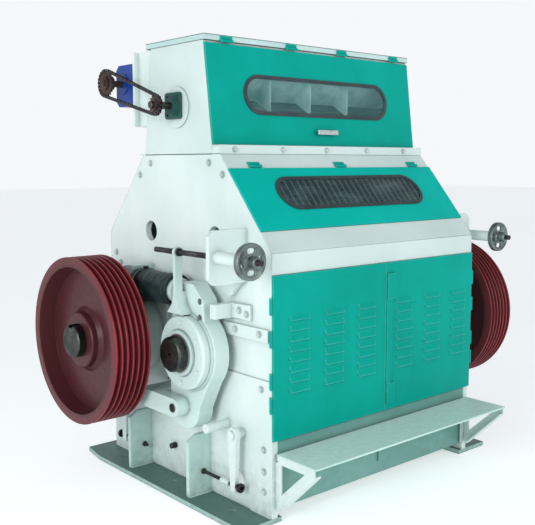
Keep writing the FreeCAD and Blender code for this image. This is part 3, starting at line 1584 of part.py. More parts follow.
def chain_shape():
    """Two flat loops of link plates, held apart by the rollers of the free spans."""
    run = float(motor_y - feed_y)
    rise = float(D.motor_rise)
    small = float(pitch_radius(D.feed_teeth))
    big = float(pitch_radius(D.motor_teeth))
    half_tall = float(D.link_half_tall)
    outer = Part.Face(around_both(small + half_tall, big + half_tall, run, rise))
    inner = Part.Face(around_both(small - half_tall, big - half_tall, run, rise))
    loop = outer.cut(inner)
    inside = float(D.tooth_wide) / 2 + 0.5
    thick = float(D.chain_plate)
    solids = []
    for start in (-inside - thick, inside):
        plate = loop.extrude(Vector(thick, 0, 0))
        plate.translate(Vector(start, 0, 0))
        solids.append(plate)
    reach = math.hypot(run, rise)
    aim = math.atan2(rise, run)
    spread = math.acos((small - big) / reach)
    span = reach * math.sin(spread)
    step = 4 * float(D.chain_pitch)
    count = int((span - 40) / step)
    for side in (-1, 1):
        angle = aim + side * spread
        foot = Vector(0, small * math.cos(angle), small * math.sin(angle))
        along = Vector(0, math.cos(angle - side * math.pi / 2), math.sin(angle - side * math.pi / 2))
        for index in range(count):
            middle = foot + along * (span / 2 + (index - (count - 1) / 2) * step)
            start = middle - Vector(inside, 0, 0)
            solids.append(
                Part.makeCylinder(float(D.roller_radius), 2 * inside, start, Vector(1, 0, 0))
            )
    shape = solids[0]
    for solid in solids[1:]:
        shape = shape.fuse(solid)
    return shape.removeSplitter()


chain = doc.addObject("Part::Feature", "chain")
chain.Shape = chain_shape()
node("feed_chain", place(chain, -chain_x, feed_y, feed_up))


# Gearbox, motor and the bracket that carries them on the hopper's rear wall
mount_y = hopper_rear + D.mount_gap
gearbox_low = motor_up - D.gearbox_tall * 0.54


def gearbox():
    body = new_body("gearbox")
    high = gearbox_low + D.gearbox_tall
    far = mount_y + D.gearbox_wide
    chamfer = 22
    outline = [
        (mount_y, gearbox_low),
        (far - chamfer, gearbox_low),
        (far, gearbox_low + chamfer),
        (far, high - chamfer),
        (far - chamfer, high),
        (mount_y + chamfer, high),
        (mount_y, high - chamfer),
    ]
    bore = [(motor_y, motor_up, D.motor_shaft_radius + D.bearing_play)]
    pad(body, "X", gearbox_face, D.gearbox_long, [outline])
    pad(body, "X", gearbox_face - 6, 6, [], [(motor_y, motor_up, 46)])
    pocket(body, "X", gearbox_face - 7, 60, [], bore)
    return body


node("gearbox", gearbox())
motor_start = gearbox_face + D.gearbox_long
motor_middle_y = mount_y + D.gearbox_wide / 2
motor_middle_z = gearbox_low + D.gearbox_tall / 2


def feed_motor():
    """A flanged motor with cooling fins, a fan cowl and a terminal box."""
    barrel_long = D.motor_long
    cowl = D.motor_radius + D.fin_tall
    profile = [
        (0, 0),
        (0, D.motor_radius + 4),
        (12, D.motor_radius + 4),
        (12, D.motor_radius),
        (barrel_long - 60, D.motor_radius),
        (barrel_long - 60, cowl),
        (barrel_long - 14, cowl),
        (barrel_long, cowl - 16),
        (barrel_long, 0),
    ]
    body = turned("feed_motor", profile)
    fin = rectangle(-1.5, D.motor_radius - 2, 1.5, D.motor_radius + D.fin_tall - 1)
    fin_pad = pad(body, "X", 22, barrel_long - 92, [fin])
    ring_of(body, [fin_pad], "X_Axis", D.fin_count)
    lid = rectangle(50, -42, 150, 42)
    pad(body, "Z", D.motor_radius - 8, 52, [lid])
    return place(body, motor_start, motor_middle_y, motor_middle_z)


node("feed_motor", feed_motor())


def motor_bracket():
    """A plate behind the hopper, square to Y, on two webs that follow the hopper's rear wall."""
    body = new_body("motor_bracket")
    low, high = gearbox_low - 92, hopper_top - 6
    plate_thick = 12
    plate_y = mount_y - plate_thick
    left = gearbox_face - 6
    right = gearbox_face + D.gearbox_long
    pad(body, "Y", plate_y, plate_thick, [rectangle(left, low, right, high)])
    web = [
        (hopper_face(hopper_rear, -1, low), low),
        (plate_y + 1, low),
        (plate_y + 1, high),
        (hopper_face(hopper_rear, -1, high), high),
    ]
    for start in (-half_width, right - 12):
        pad(body, "X", start, 8, [web])
    return body


node("motor_bracket", motor_bracket())


# Feed tray: two sheets that slope down to the feed roll inside the hopper
def tray_sheet(side):
    body = new_body("tray_sheet")
    lip_z = feed_up + 34
    high_z = feed_up + 150
    edge = D.feed_radius + D.tray_gap
    top_y = hopper_face(hopper_front, 1, high_z) if side < 0 else hopper_face(hopper_rear, -1, high_z)
    inset = -side * (D.hopper_wall + 1)
    thick = D.tray_thick
    outline = [
        (feed_y + side * edge, lip_z),
        (top_y + inset, high_z),
        (top_y + inset, high_z + thick * 1.4),
        (feed_y + side * edge, lip_z + thick * 1.4),
    ]
    long = half_width - D.hopper_wall
    pad(body, "X", -long, 2 * long, [outline])
    return body


def tray_rib(x):
    """A stiffener under the front tray sheet, seen through the hopper's window."""
    body = new_body("tray_rib")
    lip_z = feed_up + 34
    high_z = feed_up + 150
    lip_y = feed_y - D.feed_radius - D.tray_gap
    high_y = hopper_face(hopper_front, 1, high_z) + D.hopper_wall + 1
    outline = [
        (high_y + (lip_y - high_y) * 0.06, high_z + (lip_z - high_z) * 0.06),
        (high_y + (lip_y - high_y) * 0.92, high_z + (lip_z - high_z) * 0.92),
        (high_y + 6, feed_up - 26),
    ]
    pad(body, "X", x, D.tray_thick, [outline])
    return body


rail = box(
    -half_width + D.hopper_wall, hopper_face(hopper_front, 1, feed_up - 40) + 30,
    feed_up - 56, D.frame_width - 2 * D.hopper_wall, 6, 30,
)
tray_ribs = [tray_rib(x) for x in (-265, -30, 205)]
node("feed_tray", group(tray_sheet(-1), tray_sheet(1), rail, *tray_ribs))


# Discharge chute between the side frames
def chute_sheet(side):
    body = new_body("chute_sheet")
    edge = back - 66
    outline = [
        (side * edge, D.scraper_up - 50),
        (side * 110, D.sill_low),
        (side * 110 + side * D.chute_thick * 1.5, D.sill_low),
        (side * edge, D.scraper_up - 50 - D.chute_thick * 1.5),
    ]
    pad(body, "X", -inner_face, 2 * inner_face, [outline])
    return body


node("discharge_chute", group(chute_sheet(-1), chute_sheet(1)))

# Scrapers: a blade on a shaft, with a lever outside each side frame
scraper_y = front + D.scraper_back
rod_up = D.scraper_up - D.lever_down
lever_x = half_width + D.lever_out
rod_x = lever_x + D.lever_wide / 2


def scraper(side):
    """Built for the front roll and turned about for the rear one."""
    body = new_body("scraper")
    reach = D.roll_radius + D.blade_gap
    tip_y = front_roll_y - reach * 0.208
    tip_z = D.roll_up - reach * 0.978
    half = D.blade_thick / 2
    blade = [
        (scraper_y + 4, D.scraper_up - half - 2),
        (tip_y + 1, tip_z - 2),
        (tip_y - 3, tip_z + 1),
        (scraper_y - 4, D.scraper_up + half + 2),
    ]
    wide = roll_long / 2 + 8
    pad(body, "X", -lever_x - D.lever_wide - 8, 2 * (lever_x + D.lever_wide + 8), [], [
        (scraper_y, D.scraper_up, D.scraper_radius),
    ])
    pad(body, "X", -wide, 2 * wide, [blade])
    lever = [
        (scraper_y - 26, D.scraper_up),
        (scraper_y - 14, rod_up - 24),
        (scraper_y + 14, rod_up - 24),
        (scraper_y + 26, D.scraper_up),
    ]
    for start in (-lever_x - D.lever_wide, lever_x):
        pad(body, "X", start, D.lever_wide, [lever], [])
        pad(body, "X", start, D.lever_wide, [], [(scraper_y, D.scraper_up, 30)])
    for x in (-rod_x, rod_x):
        pocket(body, "Y", scraper_y - 20, 40, [], [(x, rod_up, D.scraper_rod_radius + 1.5)])
    turn = Rotation() if side < 0 else Rotation(Vector(0, 0, 1), 180)
    return place(body, 0, 0, 0, turn)


node("front_scraper", scraper(-1))
node("rear_scraper", scraper(1))
rod_start = scraper_y - 46
front_rod = bar("Y", D.scraper_rod_radius, front + D.gusset_back + 34 - rod_start, rod_x, rod_start, rod_up)
rear_rod_start = back - D.rear_gusset_in - 34
rear_rod = bar("Y", D.scraper_rod_radius, -scraper_y + 46 - rear_rod_start, rod_x, rear_rod_start, rod_up)
rod_nuts = []
for middle in gusset_places:
    rod_nuts.append(hexagon("Y", 12, 9, rod_x, middle + D.gusset_thick / 2, rod_up))
    rod_nuts.append(hexagon("-Y", 12, 9, rod_x, middle - D.gusset_thick / 2, rod_up))
node("scraper_rods", pair(fuse(front_rod, rear_rod, *rod_nuts)))

# Lifting bars below the arms and the bolts of the frame
lifting_bar = bar(
    "X", D.lifting_radius, D.lifting_long, half_width, front + D.lifting_back, D.lifting_up,
)
node("lifting_bars", pair(lifting_bar))

keeper_middle = (D.keeper_low + D.keeper_high) / 2
stop_middle = (D.stop_low + D.stop_high) / 2
side_bolts = [
    (half_width, back - D.rear_inset - 52, D.frame_top - 36),
    (half_width, back - D.rear_inset + 33, D.frame_top - 87),
    (half_width, front + D.front_inset + 68, D.frame_top - 35),
    (half_width, front + D.front_inset - 19, D.frame_top - 81),
    (half_width, back - 46, rear_shoulder_up - 97),
    (half_width, back - 82, rear_shoulder_up - 142),
    (half_width + 10, front + 205, keeper_middle),
    (half_width + 10, front + 61, keeper_middle),
    (half_width + 14, front + D.stop_front_back + 22, stop_middle - 6),
    (half_width + 14, front + D.stop_front_back + 66, stop_middle + 4),
    (half_width, front + 61, D.roll_up - opening_radius - 37),
    (half_width, front + 47, D.base_thick + 264),
    (half_width, front + 46, D.base_thick + 177),
    (half_width, front + 46, D.base_thick + 97),
    (half_width, front + 640, D.base_thick + 130),
]
heads = [pair(hexagon("X", 11, 8, x, y, up)) for x, y, up in side_bolts]
ledge_bolt_pitch = (D.frame_width - 72 - 135) / 4
for index in range(5):
    x = -half_width + 72 + index * ledge_bolt_pitch
    heads.append(hexagon("-Y", 9, 7, x, front + D.ledge_back, D.frame_top + D.ledge_tall / 2))
node("frame_bolts", group(*heads))

doc.recompute()

faulty = [item.Label for item in doc.Objects if "Invalid" in item.State or "Error" in item.State]
if faulty:
    raise RuntimeError("these objects failed: " + ", ".join(faulty))
for piece in nodes:
    if piece.Shape.isNull() or not piece.Shape.isValid():
        raise RuntimeError(piece.Label + " has no valid shape")
    piece.Shape.exportStep(f"parts/{piece.Label}.step")
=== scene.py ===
import json
import math
import random

import bmesh
import bpy
from mathutils import Matrix, Vector


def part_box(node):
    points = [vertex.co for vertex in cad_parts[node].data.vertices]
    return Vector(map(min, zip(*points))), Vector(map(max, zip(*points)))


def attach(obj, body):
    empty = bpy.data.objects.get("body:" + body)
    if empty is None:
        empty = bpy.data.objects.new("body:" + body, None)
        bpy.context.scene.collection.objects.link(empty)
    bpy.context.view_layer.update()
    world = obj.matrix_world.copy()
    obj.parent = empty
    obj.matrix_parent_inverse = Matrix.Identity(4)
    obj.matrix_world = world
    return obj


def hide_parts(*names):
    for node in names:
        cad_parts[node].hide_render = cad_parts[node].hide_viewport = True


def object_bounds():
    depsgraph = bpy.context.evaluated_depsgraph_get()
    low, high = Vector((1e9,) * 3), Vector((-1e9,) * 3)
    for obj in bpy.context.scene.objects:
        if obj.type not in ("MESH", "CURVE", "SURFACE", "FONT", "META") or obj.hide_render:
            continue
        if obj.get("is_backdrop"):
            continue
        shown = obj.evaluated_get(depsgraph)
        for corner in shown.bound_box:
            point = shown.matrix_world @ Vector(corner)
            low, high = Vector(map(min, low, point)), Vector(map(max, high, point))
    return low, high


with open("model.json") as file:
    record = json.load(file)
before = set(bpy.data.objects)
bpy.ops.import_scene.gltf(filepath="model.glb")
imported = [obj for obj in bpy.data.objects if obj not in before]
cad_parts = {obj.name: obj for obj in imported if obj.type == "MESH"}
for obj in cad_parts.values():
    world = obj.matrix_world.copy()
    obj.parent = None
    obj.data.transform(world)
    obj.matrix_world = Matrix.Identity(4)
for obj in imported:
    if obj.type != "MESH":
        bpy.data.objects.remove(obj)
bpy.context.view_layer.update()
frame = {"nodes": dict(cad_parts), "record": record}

nodes = frame["nodes"]
rng = random.Random(7)


# Shader helpers
def srgb(r, g, b):
    """A colour given as it looks on screen, 0 to 255, as linear values."""
    def channel(v):
        v /= 255
        return v / 12.92 if v <= 0.04045 else ((v + 0.055) / 1.055) ** 2.4
    return (channel(r), channel(g), channel(b), 1.0)


def box_corners(name):
    """The eight corners of a node's box, in metres."""
    low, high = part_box(name)
    return [(x, y, z) for x in (low[0], high[0]) for y in (low[1], high[1]) for z in (low[2], high[2])]


class Shader:
    """One node material with short ways to add and join its nodes."""

    def __init__(self, name):
        self.material = bpy.data.materials.new(name)
        self.material.use_nodes = True
        self.tree = self.material.node_tree
        self.tree.nodes.clear()
        self.out = self.tree.nodes.new("ShaderNodeOutputMaterial")
        self.bsdf = self.tree.nodes.new("ShaderNodeBsdfPrincipled")
        self.link(self.bsdf.outputs[0], self.out.inputs["Surface"])
        self.coord = self.tree.nodes.new("ShaderNodeTexCoord").outputs["Object"]

    def link(self, a, b):
        self.tree.links.new(a, b)

    def put(self, socket, value):
        if isinstance(value, bpy.types.NodeSocket):
            self.link(value, socket)
        else:
            socket.default_value = value

    def set(self, **values):
        for key, value in values.items():
            self.put(self.bsdf.inputs[key.replace("_", " ")], value)

    def stretch(self, scale):
        """The object's coordinates, scaled differently along X, Y and Z."""
        node = self.tree.nodes.new("ShaderNodeMapping")
        self.link(self.coord, node.inputs["Vector"])
        node.inputs["Scale"].default_value = scale
        return node.outputs[0]

    def noise(self, scale, detail=4.0, rough=0.55, coord=None, distort=0.0):
        node = self.tree.nodes.new("ShaderNodeTexNoise")
        self.link(coord or self.coord, node.inputs["Vector"])
        node.inputs["Scale"].default_value = scale
        node.inputs["Detail"].default_value = detail
        node.inputs["Roughness"].default_value = rough
        node.inputs["Distortion"].default_value = distort
        return node.outputs["Fac"]

    def cells(self, scale, coord=None, feature="F1"):
        node = self.tree.nodes.new("ShaderNodeTexVoronoi")
        node.feature = feature
        self.link(coord or self.coord, node.inputs["Vector"])
        node.inputs["Scale"].default_value = scale
        return node.outputs["Distance"]

    def wave(self, scale, axis="X", coord=None, distort=0.0, kind="SIN"):
        node = self.tree.nodes.new("ShaderNodeTexWave")
        node.wave_type = "BANDS"
        node.bands_direction = axis
        node.wave_profile = kind
        self.link(coord or self.coord, node.inputs["Vector"])
        node.inputs["Scale"].default_value = scale
        node.inputs["Distortion"].default_value = distort
        return node.outputs["Fac"]

    def span(self, value, low, high, to_low=0.0, to_high=1.0):
        node = self.tree.nodes.new("ShaderNodeMapRange")
        self.link(value, node.inputs["Value"])
        for name, number in (("From Min", low), ("From Max", high), ("To Min", to_low), ("To Max", to_high)):
            node.inputs[name].default_value = number
        return node.outputs["Result"]

    def sum(self, kind, a, b=0.0):
        node = self.tree.nodes.new("ShaderNodeMath")
        node.operation = kind
        self.put(node.inputs[0], a)
        self.put(node.inputs[1], b)
        return node.outputs[0]

    def mix(self, fac, a, b, mode="MIX"):
        node = self.tree.nodes.new("ShaderNodeMix")
        node.data_type = "RGBA"
        node.blend_type = mode
        self.put(node.inputs[0], fac)
        self.put(node.inputs[6], a)
        self.put(node.inputs[7], b)
        return node.outputs[2]

    def axis(self, name):
        node = self.tree.nodes.new("ShaderNodeSeparateXYZ")
        self.link(self.coord, node.inputs[0])
        return node.outputs[name]

    def facing(self, name):
        """How much a face looks along an axis of the object."""
        geometry = self.tree.nodes.new("ShaderNodeNewGeometry")
        node = self.tree.nodes.new("ShaderNodeSeparateXYZ")
        self.link(geometry.outputs["Normal"], node.inputs[0])
        return node.outputs[name]

    def edges(self, radius):
        """Near 1 on outer edges: where a rounded normal parts from the true one."""
        bevel = self.tree.nodes.new("ShaderNodeBevel")
        bevel.samples = 4
        bevel.inputs["Radius"].default_value = radius
        geometry = self.tree.nodes.new("ShaderNodeNewGeometry")
        dot = self.tree.nodes.new("ShaderNodeVectorMath")
        dot.operation = "DOT_PRODUCT"
        self.link(bevel.outputs[0], dot.inputs[0])
        self.link(geometry.outputs["Normal"], dot.inputs[1])
        return self.span(dot.outputs["Value"], 0.98, 0.82, 0.0, 1.0)

    def corners(self, reach):
        """Near 1 in inner corners and joints, where ambient occlusion finds shade, and 0 on open faces; it paints shade
        there.
        """
        node = self.tree.nodes.new("ShaderNodeAmbientOcclusion")
        node.samples = 4
        node.inputs["Distance"].default_value = reach
        return self.span(node.outputs["AO"], 0.85, 0.35, 0.0, 1.0)

    def near_axis(self, centre, radius):
        """1 inside a cylinder of that radius about the X-wise axis through centre."""
        offset = self.tree.nodes.new("ShaderNodeVectorMath")
        offset.operation = "SUBTRACT"
        self.link(self.coord, offset.inputs[0])
        offset.inputs[1].default_value = centre
        flat = self.tree.nodes.new("ShaderNodeVectorMath")
        flat.operation = "MULTIPLY"
        self.link(offset.outputs[0], flat.inputs[0])
        flat.inputs[1].default_value = (0.0, 1.0, 1.0)
        length = self.tree.nodes.new("ShaderNodeVectorMath")
        length.operation = "LENGTH"
        self.link(flat.outputs[0], length.inputs[0])
        return self.span(length.outputs["Value"], radius, radius - 0.002, 0.0, 1.0)

    def bump(self, *layers):
        """Stacks bump layers of (height, strength, distance in metres)."""
        normal = None
        for height, strength, distance in layers:
            node = self.tree.nodes.new("ShaderNodeBump")
            node.inputs["Strength"].default_value = strength
            node.inputs["Distance"].default_value = distance
            self.link(height, node.inputs["Height"])
            if normal is not None:
                self.link(normal, node.inputs["Normal"])
            normal = node.outputs[0]
        self.link(normal, self.bsdf.inputs["Normal"])


def paint(
    name, tone, shade, edge_tone, gloss=0.32, dust_and_shade=(150, 150, 140), wear=0.5, coat=0.15, shine=0.45,
    top=None, face=None, lines=(), flakes=(0.56, 0.66), corner_shade_reach=(0.03, 0.55),
    hollow_shade=None, rub=0.0022,
):
    """Brushed-on machine enamel: cloudy colour, faint brush sag, worn edges (whose pale colour on the
    light green enamels also paints highlights), and darker, speckled colour low down, partly settled
    soiling and partly painted shade. top and face give upward faces and faces square to X a colour of
    their own: painted light and shade by facing. lines are heights at which a thin dark joint runs round.
    The pair for inner corners is how far painted shade reaches out of them, and how dense it is. The
    entry for a wheel is the centre, radius and colour of painted shade inside its rim, and rub how far edges are worn."""
    s = Shader(name)
    cloud = s.noise(2.2, 5.0, 0.6)
    fine = s.noise(38.0, 6.0, 0.6)
    streak = s.noise(9.0, 4.0, 0.6, s.stretch((3.0, 3.0, 0.35)))
    colour = s.mix(s.span(cloud, 0.35, 0.7), tone, shade)
    colour = s.mix(s.span(streak, 0.52, 0.8, 0.0, 0.22), colour, shade)
    # Upward faces take their own mottled colour: painted light where it is lighter, painted shade (with trodden
    # soiling) where darker.
    if top:
        worn = s.mix(s.span(fine, 0.4, 0.7), top, tuple(0.9 * c for c in top[:3]) + (1.0,))
        colour = s.mix(s.span(s.facing("Z"), 0.6, 0.85), colour, worn)
    # Faces square to X take their own colour: painted shade on the pulleys' side faces.
    if face:
        sideways = s.sum("ABSOLUTE", s.facing("X"))
        colour = s.mix(s.span(sideways, 0.75, 0.95, 0.0, 0.85), colour, face)
    # Painted shade inside a wheel's rim: all within the given radius of its axis takes the given dark colour.
    if hollow_shade:
        colour = s.mix(s.near_axis(hollow_shade[0], hollow_shade[1]), colour, hollow_shade[2])
    for height in lines:
        away = s.sum("ABSOLUTE", s.sum("SUBTRACT", s.axis("Z"), height))
        colour = s.mix(s.span(away, 0.0008, 0.0022, 0.85, 0.0), colour, srgb(60, 78, 78))
    # Painted shade in inner corners and joints, found by ambient occlusion, speckled, in a darkened low-down tone.
    corner_shade = s.sum("MULTIPLY", s.corners(corner_shade_reach[0]), s.span(fine, 0.25, 0.6, 0.5, 1.0))
    colour = s.mix(s.sum("MULTIPLY", corner_shade, corner_shade_reach[1]), colour, srgb(*(0.66 * c for c in dust_and_shade)))
    # Darker and speckled towards the floor: partly settled soiling, partly painted shade.
    low = s.span(s.axis("Z"), 0.0, 0.34, 0.75, 0.0)
    low_dust_and_shade = s.sum("MULTIPLY", low, s.span(fine, 0.35, 0.7))
    colour = s.mix(s.sum("MULTIPLY", low_dust_and_shade, 0.55), colour, srgb(*dust_and_shade))
    # Worn edge marks; on the light green enamels their pale colour also paints highlights on edges.
    edge = s.edges(rub)
    flake = s.span(s.noise(120.0, 5.0, 0.7), *flakes)
    edge_marks = s.sum("MULTIPLY", s.sum("MULTIPLY", edge, flake), wear)
    colour = s.mix(edge_marks, colour, edge_tone)
    s.set(Base_Color=colour, Specular_IOR_Level=shine, Coat_Weight=coat, Coat_Roughness=0.2)
    s.set(Roughness=s.span(fine, 0.3, 0.75, gloss, gloss + 0.16))
    s.bump((s.noise(260.0, 2.0), 0.12, 0.0006), (streak, 0.10, 0.004), (cloud, 0.08, 0.01))
    return s.material


def metal(name, tone, shade, rough, brushed=None, speck=0.35, metallic=1.0, oil=0.0, worn=None):
    """Bare metal with lay marks, stains and uneven polish; worn is the colour of rubbed edges."""
    s = Shader(name)
    stain = s.noise(14.0, 6.0, 0.62)
    fine = s.noise(160.0, 4.0, 0.6)
    colour = s.mix(s.span(stain, 0.38, 0.68), tone, shade)
    colour = s.mix(s.span(fine, 0.5, 0.75, 0.0, speck), colour, shade)
    if worn:
        rubbed = s.sum("MULTIPLY", s.edges(0.0026), s.span(stain, 0.3, 0.6, 0.4, 1.0))
        colour = s.mix(rubbed, colour, worn)
    s.set(Base_Color=colour, Metallic=metallic, Specular_IOR_Level=0.5)
    s.set(Roughness=s.span(stain, 0.3, 0.75, rough, rough + 0.18))
    if oil:
        s.set(Coat_Weight=oil, Coat_Roughness=0.12)
    lay = s.noise(60.0, 3.0, 0.7, s.stretch(brushed or (14.0, 14.0, 14.0)))
    s.bump((lay, 0.25, 0.0006), (fine, 0.12, 0.0004))
    return s.material


# Materials
MINT, MINT_SHADE, MINT_CHIP = srgb(215, 227, 225), srgb(194, 213, 209), srgb(96, 112, 108)
WHITE = paint(
    "mint_white_enamel", MINT, MINT_SHADE, MINT_CHIP, 0.34, wear=0.4, dust_and_shade=(124, 158, 150),
    shine=0.35,
)
SHEET = paint(
    "sheet_enamel", srgb(205, 219, 217), srgb(190, 209, 205), MINT_CHIP, 0.34, wear=0.4,
    dust_and_shade=(128, 146, 138), shine=0.35,
)
CASTING = paint(
    "casting_enamel", srgb(202, 220, 216), srgb(180, 204, 200), MINT_CHIP, 0.3, wear=0.5,
    dust_and_shade=(112, 140, 134), shine=0.45, corner_shade_reach=(0.03, 0.7),
)
# The mint-white enamel made darker and greener for the upward-facing roof: painted shade.
ROOF_SHADE = paint(
    "roof_enamel_painted_shade", srgb(188, 213, 211), srgb(168, 198, 195), MINT_CHIP, 0.34, wear=0.6, shine=0.35,
    lines=(1.8615, 1.8835),
)
# Floor plates: darker than the mint enamel and darker again on upward faces, partly trodden soiling, partly painted
# shade.
BASE_DUST_AND_SHADE = paint(
    "floor_plate_dust_and_shade", srgb(166, 194, 188), srgb(140, 172, 165), MINT_CHIP, 0.5, wear=0.5,
    dust_and_shade=(92, 116, 108), shine=0.25, top=srgb(88, 122, 115),
)
# A darker copy of the mint enamel for the gussets and rear sill, low between other parts: painted shade.
GUSSET_SHADE = paint(
    "gusset_enamel_painted_shade", srgb(192, 218, 213), srgb(168, 199, 193), MINT_CHIP, 0.42, wear=0.4,
    dust_and_shade=(120, 146, 138), shine=0.3,
)
# A dark teal copy of the mint enamel for the front sill under the step: painted shade.
SILL_SHADE = paint(
    "sill_enamel_painted_shade", srgb(116, 160, 154), srgb(94, 140, 134), MINT_CHIP, 0.42, wear=0.3,
    dust_and_shade=(96, 124, 116), shine=0.2,
)
# Step enamel; its upward tread faces take a lighter colour: painted light.
STEP = paint(
    "step_enamel", srgb(196, 226, 219), srgb(170, 206, 198), MINT_CHIP, 0.4, wear=0.5,
    dust_and_shade=(170, 202, 195), shine=0.3, top=srgb(214, 240, 235),
)
BOLT = paint(
    "painted_bolt", srgb(196, 208, 205), srgb(160, 176, 172), srgb(84, 92, 90), 0.36, wear=1.0,
    dust_and_shade=(110, 124, 120), shine=0.4, flakes=(0.40, 0.55),
)
# Green enamel; its pale edge colour marks worn edges and also paints highlights on door and louvre edges.
GREEN = paint(
    "green_enamel", srgb(0, 160, 146), srgb(0, 146, 132), srgb(128, 212, 198), 0.34, wear=0.7,
    dust_and_shade=(20, 130, 116), coat=0.0, shine=0.05, flakes=(0.34, 0.48), rub=0.0032,
)
# A brighter copy of the green enamel for the upward-tilted flap: painted light.
FLAP_LIT = paint(
    "flap_enamel_painted_light", srgb(0, 180, 168), srgb(0, 166, 153), srgb(120, 206, 192), 0.34, wear=0.8,
    dust_and_shade=(20, 130, 116), coat=0.0, shine=0.05, flakes=(0.38, 0.52),
)


def red(name, wheel):
    """The belt pulleys' red, with painted shade on their side faces and inside the rim of the wheel."""
    target = nodes[wheel]
    corners = [target.matrix_world.inverted() @ Vector(corner) for corner in box_corners(wheel)]
    centre = sum(corners, Vector()) / len(corners)
    return paint(
        name, srgb(162, 42, 54), srgb(124, 36, 44), srgb(196, 128, 124), 0.34, dust_and_shade=(70, 38, 38),
        wear=0.6, coat=0.12, shine=0.2, face=srgb(74, 34, 36), flakes=(0.5, 0.62),
        hollow_shade=(centre, 0.326, srgb(72, 30, 33)),
    )


RED = red("red_oxide_enamel", "rear_pulley")
RED_RIGHT = red("red_oxide_enamel_right", "front_pulley")
TEAL = paint(
    "teal_enamel", srgb(10, 88, 84), srgb(8, 62, 62), srgb(90, 100, 98), 0.34, wear=0.5, shine=0.25,
)
BLUE = paint(
    "blue_enamel", srgb(0, 60, 148), srgb(0, 40, 108), srgb(120, 130, 140), 0.28, wear=0.4,
    shine=0.25,
)
CAST = metal(
    "worn_cast_wheel", srgb(122, 136, 132), srgb(48, 60, 58), 0.3, speck=0.6, metallic=0.6, oil=0.25,
    worn=srgb(222, 232, 228),
)
RUST = metal(
    "rusty_sprocket", srgb(96, 76, 68), srgb(52, 40, 38), 0.5, speck=0.8, metallic=0.6,
)
SHAFT = metal(
    "turned_shaft_steel", srgb(80, 84, 80), srgb(38, 42, 39), 0.34, (4.0, 60.0, 60.0),
    worn=srgb(170, 172, 168),
)
DARK = metal("dark_oiled_steel", srgb(62, 62, 64), srgb(30, 30, 32), 0.34, speck=0.5, oil=0.3)
ROLL = metal("ground_roll_iron", srgb(120, 118, 116), srgb(74, 70, 66), 0.36, (1.0, 40.0, 40.0))
CHROME = metal("plated_grip", srgb(214, 216, 218), srgb(170, 172, 176), 0.12, speck=0.1)
ZINC = metal("zinc_plate", srgb(176, 180, 180), srgb(120, 124, 124), 0.30, speck=0.4)
TRAY = metal(
    "tray_sheet", srgb(204, 238, 234), srgb(146, 196, 192), 0.42, (3.0, 30.0, 30.0), metallic=0.1,
    worn=srgb(240, 250, 248),
)


def threaded(name, tone, shade, rough, axis, pitch):
    """Dark steel with the turns of a thread along one axis."""
    s = Shader(name)
    stain = s.noise(20.0, 5.0, 0.6)
    turns = s.wave(0.314 / pitch, axis, kind="TRI")
    colour = s.mix(s.span(stain, 0.4, 0.7), tone, shade)
    # Painted shade in the thread's grooves, where the bump dips.
    colour = s.mix(s.span(turns, 0.0, 0.5, 0.6, 0.0), colour, shade)
    s.set(Base_Color=colour, Metallic=0.9, Specular_IOR_Level=0.5)
    s.set(Roughness=s.span(stain, 0.3, 0.75, rough, rough + 0.18))
    s.bump((turns, 0.9, pitch * 0.4), (s.noise(160.0), 0.1, 0.0004))
    return s.material


THREAD = threaded("screw_thread", srgb(70, 68, 66), srgb(26, 26, 28), 0.34, "Y", 0.003)


def rubber(name, tone, shade, rough, bump):
    s = Shader(name)
    fine = s.noise(220.0, 3.0, 0.6)
    bloom = s.noise(11.0, 5.0, 0.6)
    colour = s.mix(s.span(bloom, 0.4, 0.7), tone, shade)
    s.set(Base_Color=colour, Roughness=s.span(bloom, 0.35, 0.7, rough, rough + 0.2))
    s.set(Specular_IOR_Level=0.35)
    s.bump((fine, bump, 0.0006), (bloom, 0.15, 0.004))
    return s.material


RUBBER = rubber("window_rubber", srgb(38, 50, 54), srgb(58, 70, 72), 0.42, 0.2)
BOOT = rubber("boot_rubber", srgb(24, 40, 42), srgb(44, 62, 62), 0.36, 0.3)


def glass(name, tint, soiling_and_sheen, veil, reflection_streaks=0.0):
    """A sheet pane: tinted, with a pale smear that is partly soiling and partly painted sheen, and on request bands of
    painted reflection; its veil the share that hides what is behind.
    """
    s = Shader(name)
    smear = s.noise(7.0, 5.0, 0.65, s.stretch((1.0, 2.0, 3.0)))
    # The pale smear: soiling, and painted sheen.
    smear_cover = s.span(smear, 0.45, 0.75, 0.0, 0.5)
    colour = s.mix(smear_cover, tint, soiling_and_sheen)
    if reflection_streaks:
        # Vertical bands of painted reflection on the pane.
        bars = s.span(s.wave(9.0, "X", distort=0.4), 0.62, 0.95, 0.0, reflection_streaks)
        colour = s.mix(bars, colour, soiling_and_sheen)
    s.set(Base_Color=colour, Alpha=veil, Metallic=0.0, Specular_IOR_Level=0.35)
    s.set(Roughness=s.span(smear, 0.4, 0.75, 0.08, 0.3))
    s.bump((s.noise(5.0, 2.0), 0.08, 0.004))
    s.material.surface_render_method = "BLENDED"
    return s.material


GLASS = glass("hopper_pane", srgb(80, 140, 140), srgb(130, 172, 170), 0.2)
DARK_GLASS = glass("flap_pane", srgb(34, 54, 58), srgb(104, 130, 134), 0.82, reflection_streaks=0.36)

